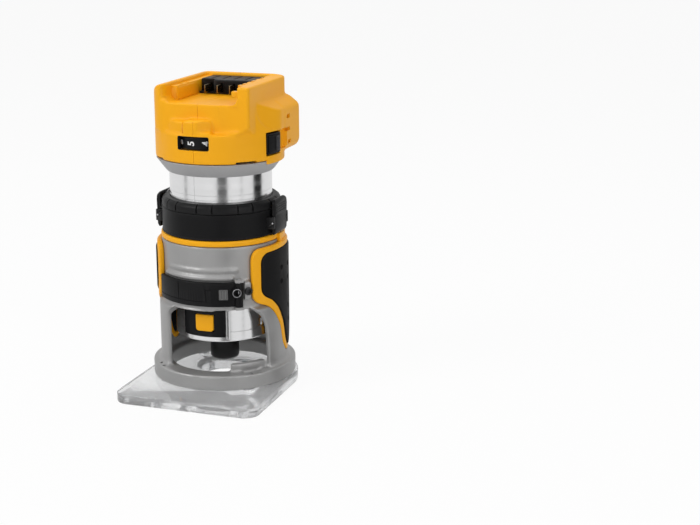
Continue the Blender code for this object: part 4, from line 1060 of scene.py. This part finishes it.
shellLow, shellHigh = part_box("head_shell_left")
bezelLow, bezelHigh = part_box("switch_bezel")
dialLow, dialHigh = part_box("speed_dial")
dialY, dialR = (dialLow.y + dialHigh.y) / 2, (dialHigh.x - dialLow.x) / 2
blockLow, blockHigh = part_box("terminal_block")

headSet = {"bandR": 0.0430, "ledge": 0.1780, "half": 0.0355, "front": 0.0350, "rear": 0.0400,
    "corner": 0.0130, "roomCorner": 0.0100, "crisp": 0.0015, "crownIn": 0.0120, "crownDrop": 0.0110,
    "shoulderX": 0.0428,
    "shoulderFoot": 0.1790, "shoulderTop": 0.1953, "shoulderFront": 0.0310, "bulgeX": 0.0446,
    "bulgeFront": 0.0040, "bulgeRear": 0.0350, "bulgeLow": 0.1610, "bulgeTop": 0.1965, "bulgeSlope": 0.0060,
    "bulgeEdge": 0.0030, "wingFront": -0.0250, "wingLow": 0.1774, "wingIn": 0.0002, "roomLap": 0.0010,
    "slotLeft": -0.0244, "slotRight": 0.0270, "slotFloor": 0.1968, "slotRear": 0.0360, "hornIn": 0.0060,
    "cornerFill": 0.0046, "railWide": 0.0044, "railDeep": 0.0048, "railTop": 0.2062, "combTop": 0.2045,
    "railHigh": 0.0030, "railFront": -0.0220, "underFloor": 0.0030,
    "pills": [(-101.6, -74.0, 0.1770, 0.1872, 0.0428), (-121.9, -98.0, 0.1772, 0.1862, 0.0410)],
    "pillCorner": 0.0048, "pillEdge": 0.0016, "voxel": 0.0008, "melt": 8, "wall": 0.0032,
    "bandWall": 0.0045, "lip": (-21.5, 30.0, 0.1562, 0.1620, 0.0420, 0.0431),
    "dialWindow": (-105.6, -76.5, 0.1681, 0.1765), "dialSlotR": 0.0151, "dialLap": 0.0003, "frameWide": 0.4,
    "frameHigh": 0.0003, "frameIn": 0.0388, "frameGap": 0.0006, "frameOut": 0.0428, "seam": 0.0001,
    "switchWay": (-22.4, 0.4, 0.1617, 0.1773), "recess": (0.9, 12.0, 0.1640, 0.1775, 0.0422),
    "vents": [(0.0091, 0.0147, 0.18327, 0.18593), (0.0091, 0.0147, 0.17477, 0.17733),
    (0.0111, 0.0165, 0.16613, 0.16873)], "ventDeep": 0.0034, "grooves": [(-101.9, -100.9, 0.1785, 0.1864)],
    "gaps": [(-140.0, -127.0), (-53.0, -33.0)], "gapHigh": 0.0015,
    "sweep": (0.0245, 0.0300, 0.0017, 0.1794), "underside": [(0, 0.2200), (0.08, 0.2200), (0.08, 0.1890),
    (0.0515, 0.1852), (0.0432, 0.1775), (0.0432, 0.16), (0, 0.16)],
    "roomKeep": [(0, 0.2200), (0.08, 0.2200), (0.08, 0.1930), (0.0480, 0.1890), (0.0392, 0.1790),
    (0.0392, 0.16), (0, 0.16)]}


def planOutline(shrink=0.0, eased=headSet["corner"], steps=10):
    # the upper plan: three round corners and a crisp one at the front right
    s = headSet
    half, front, rear = s["half"] - shrink, s["front"] - shrink, s["rear"] - shrink
    corners = [(half, rear), (-half, rear), (-half, -front)]
    points = []
    for x, y in corners:
        cx, cy = x - eased * (1 if x > 0 else -1), y - eased * (1 if y > 0 else -1)
        begin = {(1, 1): 0, (-1, 1): 90, (-1, -1): 180}[(1 if x > 0 else -1, 1 if y > 0 else -1)]
        for k in range(steps + 1):
            turn = radians(begin + 90 * k / steps)
            points.append((cx + eased * cos(turn), spindleY + cy + eased * sin(turn)))
    crisp = s["crisp"]
    return points + [(half - crisp, spindleY - front), (half, spindleY - front + crisp)]


def shoulderOutline(side):
    s = headSet
    run, rise = s["shoulderX"] - s["half"], s["shoulderTop"] - s["shoulderFoot"]
    hollow = [(s["half"] + run * (1 - sin(radians(a))), s["shoulderTop"] - rise * cos(radians(a)))
        for a in range(0, 91, 9)]
    points = [(s["half"] - 0.006, s["shoulderTop"]), (s["half"] - 0.006, 0.1696), (s["shoulderX"], 0.1696),
        *hollow]
    return [(side * x, z) for x, z in points]


def bulgeOutline(side):
    s = headSet
    points = [(s["half"] - 0.006, s["bulgeLow"]), (s["bulgeX"] - 0.003, s["bulgeLow"]),
        (s["bulgeX"], s["bulgeLow"] + 0.004), (s["bulgeX"], s["bulgeTop"] - s["bulgeSlope"]),
        (s["half"] + 0.001, s["bulgeTop"]), (s["half"] - 0.006, s["bulgeTop"])]
    return [(side * x, z) for x, z in points]


def headForm():
    s = headSet
    top = shellHigh.z
    form = lathe("headForm", [(0, s["ledge"]), (s["bandR"] - 0.0006, s["ledge"]),
        (s["bandR"], s["ledge"] - 0.0006), (s["bandR"], shellLow.z), (0, shellLow.z)], 160)
    upper = slab("upper", planOutline(), shellLow.z + 0.012, top + 0.01)
    arc = quarter(-s["half"] - 0.001, top, s["crownIn"], -s["crownDrop"], 9)
    low = shellLow.z + 0.010
    crown = [(-s["half"] - 0.001, low), (s["half"] + 0.001, low), (s["half"] + 0.001, top), *reversed(arc)]
    join(upper, across("crown", crown, -0.1, 0.1), "INTERSECT")
    # the front right corner comes back under itself to meet the round band
    join(upper, lathe("underside", s["underside"], 96), "INTERSECT")
    join(form, upper)
    for side in (1, -1):
        hollow = across("shoulder", shoulderOutline(side), spindleY - s["shoulderFront"],
            spindleY + s["bulgeRear"] - 0.004)
        join(hollow, lathe("keep", [(0, top), (s["bandR"] - 0.0004, top), (s["bandR"] - 0.0004, shellLow.z),
            (0, shellLow.z)], 96), "INTERSECT")
        join(form, hollow)
        bulge = across("bulge", bulgeOutline(side), spindleY + s["bulgeFront"], spindleY + s["bulgeRear"])
        join(form, roundEdges(bulge, s["bulgeEdge"], 4))
        # a wing grows out of the side wall towards the bulge
        face = [(x - side * s["wingIn"], max(z - s["wingIn"], s["wingLow"]))
            for x, z in bulgeOutline(side)[2:]]
        wing = across("wing", [(face[-1][0], s["wingLow"]), (face[0][0], s["wingLow"]), *face[1:]],
            spindleY + s["wingFront"], spindleY + s["bulgeFront"] + 0.004)
        reach, start = s["bulgeX"] - s["half"], s["half"] - 0.0005
        plan = [(side * (start + reach * sin(radians(a)) ** 1.5 * 1.08),
            spindleY + s["wingFront"] + (s["bulgeFront"] - s["wingFront"]) * a / 90)
            for a in range(0, 91, 10)]
        plan += [(plan[-1][0], spindleY + 0.02), (side * 0.025, spindleY + 0.02),
            (side * 0.025, plan[0][1])]
        join(wing, slab("wingPlan", plan, 0.15, 0.22), "INTERSECT")
        join(form, wing)
    for *sides, outer in s["pills"]:
        join(form, bent("pill", sides, 0.033, outer, s["pillCorner"], s["pillEdge"]))
    # the front face sweeps out to the crisp corner
    middle, bend, deep, low = s["sweep"]
    y = spindleY - s["front"] - bend + deep
    cut(form, rod("sweep", bend, (middle, y, low), (middle, y, top + 0.02), 128))
    cut(form, box("slot", (s["slotLeft"], spindleY - 0.07, s["slotFloor"]),
        (s["slotRight"], spindleY + s["slotRear"], top + 0.02)))
    # the lip curves up into both walls
    bend, floor = s["cornerFill"], s["slotFloor"]
    for side, x in ((1, s["slotLeft"]), (-1, s["slotRight"])):
        fill = [(x - side * 0.0005, floor - 0.0005), (x + side * bend, floor - 0.0005)]
        fill += quarter(x, floor, side * bend, bend, 15, True)
        join(form, across("cornerFill", [*fill, (x - side * 0.0005, floor + bend)],
            spindleY - s["front"] + 0.0006, spindleY + s["railFront"] + 0.0024))
    # the left wall ends in a round horn at the front
    front = spindleY - s["front"]
    x, y = s["slotLeft"] - s["hornIn"], front + s["hornIn"]
    horn = box("hornTrim", (s["slotLeft"] - 0.0115, front - 0.01, floor + 0.002),
        (s["slotLeft"] + 0.001, y, top + 0.01))
    cut(horn, rod("hornRound", s["hornIn"], (x, y, 0.15), (x, y, 0.25), 48))
    cut(horn, box("hornKeep", (-0.05, front - 0.02, 0.15), (x, spindleY + 0.02, 0.25)))
    cut(form, horn)
    return soften(form, s["voxel"], s["melt"])


railSet = {"stepDeep": 0.0014, "stepRise": 0.0002, "steps": 7, "stepFront": -0.0240, "stepPitch": 0.0075,
    "holes": [(-0.0217, -0.0130), (-0.0217, -0.0030)], "holeR": 0.0015,
    "nib": (0.0221, 0.0283, -0.0310, -0.0265)}


def addRails(form):
    s, r = headSet, railSet
    top = shellHigh.z
    rear = spindleY + s["slotRear"] + 0.001
    rail = box("leftRail", (s["slotLeft"] - 0.001, spindleY + s["railFront"], s["slotFloor"] - 0.0005),
        (s["slotLeft"] + s["railWide"], rear, s["railTop"]))
    join(form, roundEdges(rail, 0.0004, 2))
    rail = box("leftGuide", (s["slotLeft"] - 0.001, spindleY + s["railFront"], s["slotFloor"] - 0.0006),
        (s["slotLeft"] + s["railDeep"], blockLow.y - 0.0004, s["railTop"] - 0.0002))
    join(form, roundEdges(rail, 0.0016, 4))
    for x, y in r["holes"]:
        cut(form, rod("railHole", r["holeR"], (x, spindleY + y, s["railTop"] - 0.003),
            (x, spindleY + y, 0.22), 24))
    left = s["slotRight"] - s["railWide"]
    rail = box("rightRail", (left, spindleY + s["railFront"], s["combTop"] - s["railHigh"]),
        (s["slotRight"] + 0.0017, rear + 0.0007, top - 0.0006))
    # its upper edge is stepped along the slide
    for k in range(r["steps"]):
        y = spindleY + r["stepFront"] + k * r["stepPitch"]
        cut(rail, box("step", (left - 0.001, y, s["combTop"] - 0.0004 + r["stepRise"] * k),
            (left + r["stepDeep"] * (1 + k % 2), y + r["stepPitch"] * 0.45, 0.22)))
    join(form, rail)
    low, high, front, back = r["nib"]
    nib = box("nib", (low, spindleY + front, s["combTop"] - s["railHigh"] + 0.0003),
        (high, spindleY + back, s["combTop"] + 0.001))
    join(form, roundEdges(nib, 0.0005, 2))


def frameOutline(wider=0.0, higher=0.0):
    # the outside of the dial's window frame, with a little play where the shell asks for it
    s = headSet
    left, right, low, high = s["dialWindow"]
    return square(left - s["frameWide"] - wider, right + s["frameWide"] + wider,
        low - s["frameHigh"] - higher, high + s["frameHigh"] + higher)


def makeDialFrame():
    s = headSet
    frame = wrap("dialFrame", frameOutline(), s["frameIn"], s["frameOut"], 0.0015)
    cut(frame, bent("opening", s["dialWindow"], s["frameIn"] - 0.002, s["frameOut"] + 0.004, 0.0012))
    cut(frame, rod("dialWay", dialR + s["frameGap"], (0, dialY, 0.16), (0, dialY, 0.19), 128))
    keep(frame, "motor", "black_plastic")


def cutOpenings(form):
    s = headSet
    bandIn = s["bandR"] - s["bandWall"]
    cut(form, lathe("bandRoom", [(0, s["ledge"] - s["wall"]), (bandIn, s["ledge"] - s["wall"]),
        (bandIn, 0.15), (0, 0.15)], 128))
    room = slab("upperRoom", planOutline(s["wall"], s["roomCorner"]), s["ledge"] - s["wall"] - s["roomLap"],
        s["slotFloor"] - s["underFloor"])
    join(room, lathe("roomKeep", s["roomKeep"], 96), "INTERSECT")
    cut(form, room)
    cut(form, wrap("dialWindow", frameOutline(0.1, 0.0001), 0.034, nearSkin, 0.0015))
    cut(form, rod("dialRoom", s["dialSlotR"], (0, dialY, s["dialWindow"][2] - s["dialLap"]),
        (0, dialY, s["dialWindow"][3] + s["dialLap"]), 96))
    cut(form, bent("switchWay", s["switchWay"], 0.030, pastSkin, 0.0008))
    *sides, inner = s["recess"]
    cut(form, bent("recess", sides, inner, pastSkin, 0.0014, 0.0005))
    for side in (1, -1):
        for front, rear, low, high in s["vents"]:
            xs = sorted((side * (s["bulgeX"] - s["ventDeep"]), side * (s["bulgeX"] + 0.005)))
            vent = box("vent", (xs[0], spindleY + front, low), (xs[1], spindleY + rear, high))
            cut(form, roundEdges(vent, 0.0005, 2))
    for turns in s["gaps"]:
        cut(form, bent("gap", (*turns, shellLow.z - 0.001, shellLow.z + s["gapHigh"]), bandIn - 0.001,
            pastSkin))
    for sides in s["grooves"]:
        cut(form, bent("groove", sides, s["pills"][1][4] - 0.0005, nearSkin))


def makeHead():
    s = headSet
    form = headForm()
    print("head form:", len(form.data.polygons))
    addRails(form)
    *sides, inner, outer = s["lip"]
    join(form, bent("lip", sides, inner, outer, 0.0012, 0.0004))
    cutOpenings(form)
    other = copyOf(form, "rightHeadShell")
    form.name = "leftHeadShell"
    cut(form, box("rightSide", (-s["seam"], -0.1, 0.1), (0.1, 0.1, 0.3)))
    cut(other, box("leftSide", (-0.1, -0.1, 0.1), (s["seam"], 0.1, 0.3)))
    keep(form, "motor", "yellow_plastic", ["head_shell_left"], 40)
    keep(other, "motor", "yellow_plastic", ["head_shell_right"], 40)
    makeDialFrame()


dialSet = {"edge": 0.0004, "rimDeep": 0.0003, "post": 0.0019, "digits": "7654321", "digitPitch": 41.0,
    "firstDigit": -7.4, "frontDigit": 2, "digitSize": 0.0066, "digitBold": 0.00012,
    "digitOut": 0.00015, "digitIn": 0.0006}


def makeDial():
    s = dialSet
    low, high, rim = dialLow.z, dialHigh.z, dialR - s["rimDeep"]
    wheel = lathe("speedDial", [(s["post"], low), (dialR - s["edge"], low), (dialR, low + s["edge"]),
        (dialR, low + 0.0010), (rim, low + 0.0012), (rim, high - 0.0012), (dialR, high - 0.0010),
        (dialR, high - s["edge"]), (dialR - s["edge"], high), (s["post"], high)], 144, (0, dialY))
    keep(wheel, "speed_dial", "black_plastic", ["speed_dial"])
    for k, digit in enumerate(s["digits"]):
        # plain digits moulded sideways round the rim
        clearSelection()
        bpy.ops.object.text_add()
        mark = named(f"digit{digit}")
        mark.data.body = digit
        mark.data.size = s["digitSize"]
        mark.data.align_x = "CENTER"
        mark.data.align_y = "CENTER"
        mark.data.extrude = (s["digitIn"] + s["digitOut"]) / 2
        mark.data.offset = s["digitBold"]
        mark.data.resolution_u = 4
        bpy.ops.object.convert(target="MESH")
        turn = radians(-90 + s["firstDigit"] + (k - s["frontDigit"]) * s["digitPitch"])
        reach = rim + (s["digitOut"] - s["digitIn"]) / 2
        spins = [Matrix.Rotation(angle, 4, axis) for angle, axis in ((turn + pi / 2, "Z"), (pi / 2, "X"),
            (pi / 2, "Z"))]
        mark.rotation_euler = (spins[0] @ spins[1] @ spins[2]).to_euler()
        mark.location = (reach * cos(turn), dialY + reach * sin(turn), (low + high) / 2)
        applyPlace(mark)
        for vertex in mark.data.vertices:
            place = Vector((vertex.co.x, vertex.co.y - dialY))
            sideways = Vector((-sin(turn), cos(turn))).dot(place)
            out = Vector((cos(turn), sin(turn))).dot(place)
            here = turn + sideways / reach
            vertex.co.x, vertex.co.y = out * cos(here), dialY + out * sin(here)
        keep(mark, "speed_dial", "black_plastic", (), 0, whiteMark)


switchSet = {"bezelOut": 0.0436, "bezelEdge": 0.0004, "bezelCorner": 0.0010,
    "rocker": (-20.0, -2.0, 0.1640, 0.1750), "rockerIn": 0.0400, "rockerOut": 0.0442,
    "ridge": (-10.2, -5.6, 0.1648, 0.1742), "ridgeOut": 0.0450, "ridgeGrooves": (-9.4, -8.3, -7.2),
    "edge": 0.0004, "play": 0.8}


def makeSwitch():
    s = switchSet
    left, right, low, high = s["rocker"]
    bezel = bent("switchBezel", (left - 1.6, right + 1.6, bezelLow.z, bezelHigh.z), 0.0388, s["bezelOut"],
        s["bezelCorner"], s["bezelEdge"])
    sides = (left - s["play"], right + s["play"], low - play, high + play)
    cut(bezel, bent("bezelWay", sides, 0.03, pastSkin, 0, 0, 0.0021))
    keep(bezel, "motor", "black_plastic", ["switch_bezel"])
    rocker = bent("powerSwitch", s["rocker"], s["rockerIn"], s["rockerOut"], 0.0008, s["edge"])
    keep(rocker, "power_switch", "black_plastic", ["power_switch"])
    low, high = s["ridge"][2] + 0.0006, s["ridge"][3] - 0.0006
    ridge = bent("switchRidge", s["ridge"], s["rockerOut"] - 0.0006, s["ridgeOut"], 0.0006, 0.0003)
    for turn in s["ridgeGrooves"]:
        cut(ridge, bent("ridgeGroove", (turn - 0.22, turn + 0.22, low, high), s["ridgeOut"] - 0.0003,
            pastSkin))
    # the raised ridge is real; its lighter grey is a painted highlight
    keep(ridge, "power_switch", "grey_plastic", (), 35, ridgeHighlight)


terminalSet = {"edge": 0.0005, "stepLeft": -0.0088, "stepBack": 0.0040, "slotWide": 0.0014,
    "slotDeep": 0.0060, "ribTop": 0.0012, "ribs": 5, "ribPitch": 0.0082}


def makeTerminals():
    s = terminalSet
    terminal = box("terminalBlock", blockLow, blockHigh)
    cut(terminal, box("leftStep", (blockLow.x - 0.01, blockLow.y - 0.01, blockLow.z + 0.0014),
        (s["stepLeft"], blockLow.y + s["stepBack"], blockHigh.z + 0.01)))
    for k in range(s["ribs"]):
        x = blockLow.x + 0.006 + k * s["ribPitch"]
        cut(terminal, box("topGroove", (x, blockLow.y + 0.006, blockHigh.z - s["ribTop"]),
            (x + 0.0012, blockHigh.y - 0.003, blockHigh.z + 0.01)))
    roundEdges(terminal, s["edge"], 3)
    blades = [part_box(f"contact_blade_{k + 1}") for k in range(4)]
    for low, high in blades:
        x = (low.x + high.x) / 2
        cut(terminal, box("bladeSlot", (x - s["slotWide"] / 2, blockLow.y - 0.01, low.z - 0.0004),
            (x + s["slotWide"] / 2, blockLow.y + s["slotDeep"], high.z + 0.0006)))
    keep(terminal, "motor", "black_plastic", ["terminal_block"])
    # the blades take the darkened brass, a painted shade
    for k, (low, high) in enumerate(blades):
        blade = box(f"contactBlade{k + 1}", low, (high.x, high.y + s["slotDeep"] - 0.001, high.z))
        keep(roundEdges(blade, 0.0002, 2), "motor", "contact_brass", [f"contact_blade_{k + 1}"], 35,
            shadedBrass)


headScrewSet = {"shank": 0.0013, "head": 0.0022, "headHigh": 0.0016, "socket": 0.0011}


def makeHeadScrews():
    s = headScrewSet
    for k in range(4):
        low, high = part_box(f"head_screw_{k + 1}")
        y, z = (low.y + high.y) / 2, (low.z + high.z) / 2
        screw = rod(f"headScrew{k + 1}", s["shank"], (low.x + 0.0006, y, z), (high.x, y, z), 32)
        join(screw, roundEdges(rod("head", s["head"], (low.x, y, z), (low.x + s["headHigh"], y, z), 40),
            0.0003, 2))
        cut(screw, rod("socket", s["socket"], (low.x - 0.001, y, z), (low.x + 0.0009, y, z), 6))
        keep(screw, "motor", "zinc_steel", [f"head_screw_{k + 1}"])


makePlate()
makePlateScrews()
makeCasting()
print("plate and casting made")
makeTrim()
makeGrips()
print("trim and grips made")
makeLever()
makeLeverHardware()
makeCollar()
makeTabs()
makeDepthRing()
print("lever, collar and ring made")
makeCan()
makeNose()
makeLock()
makeNut()
makeFlange()
print("motor made")
makeHead()
makeHeadScrews()
print("head made")
makeDial()
makeSwitch()
makeTerminals()
print("dial, switch and terminals made")
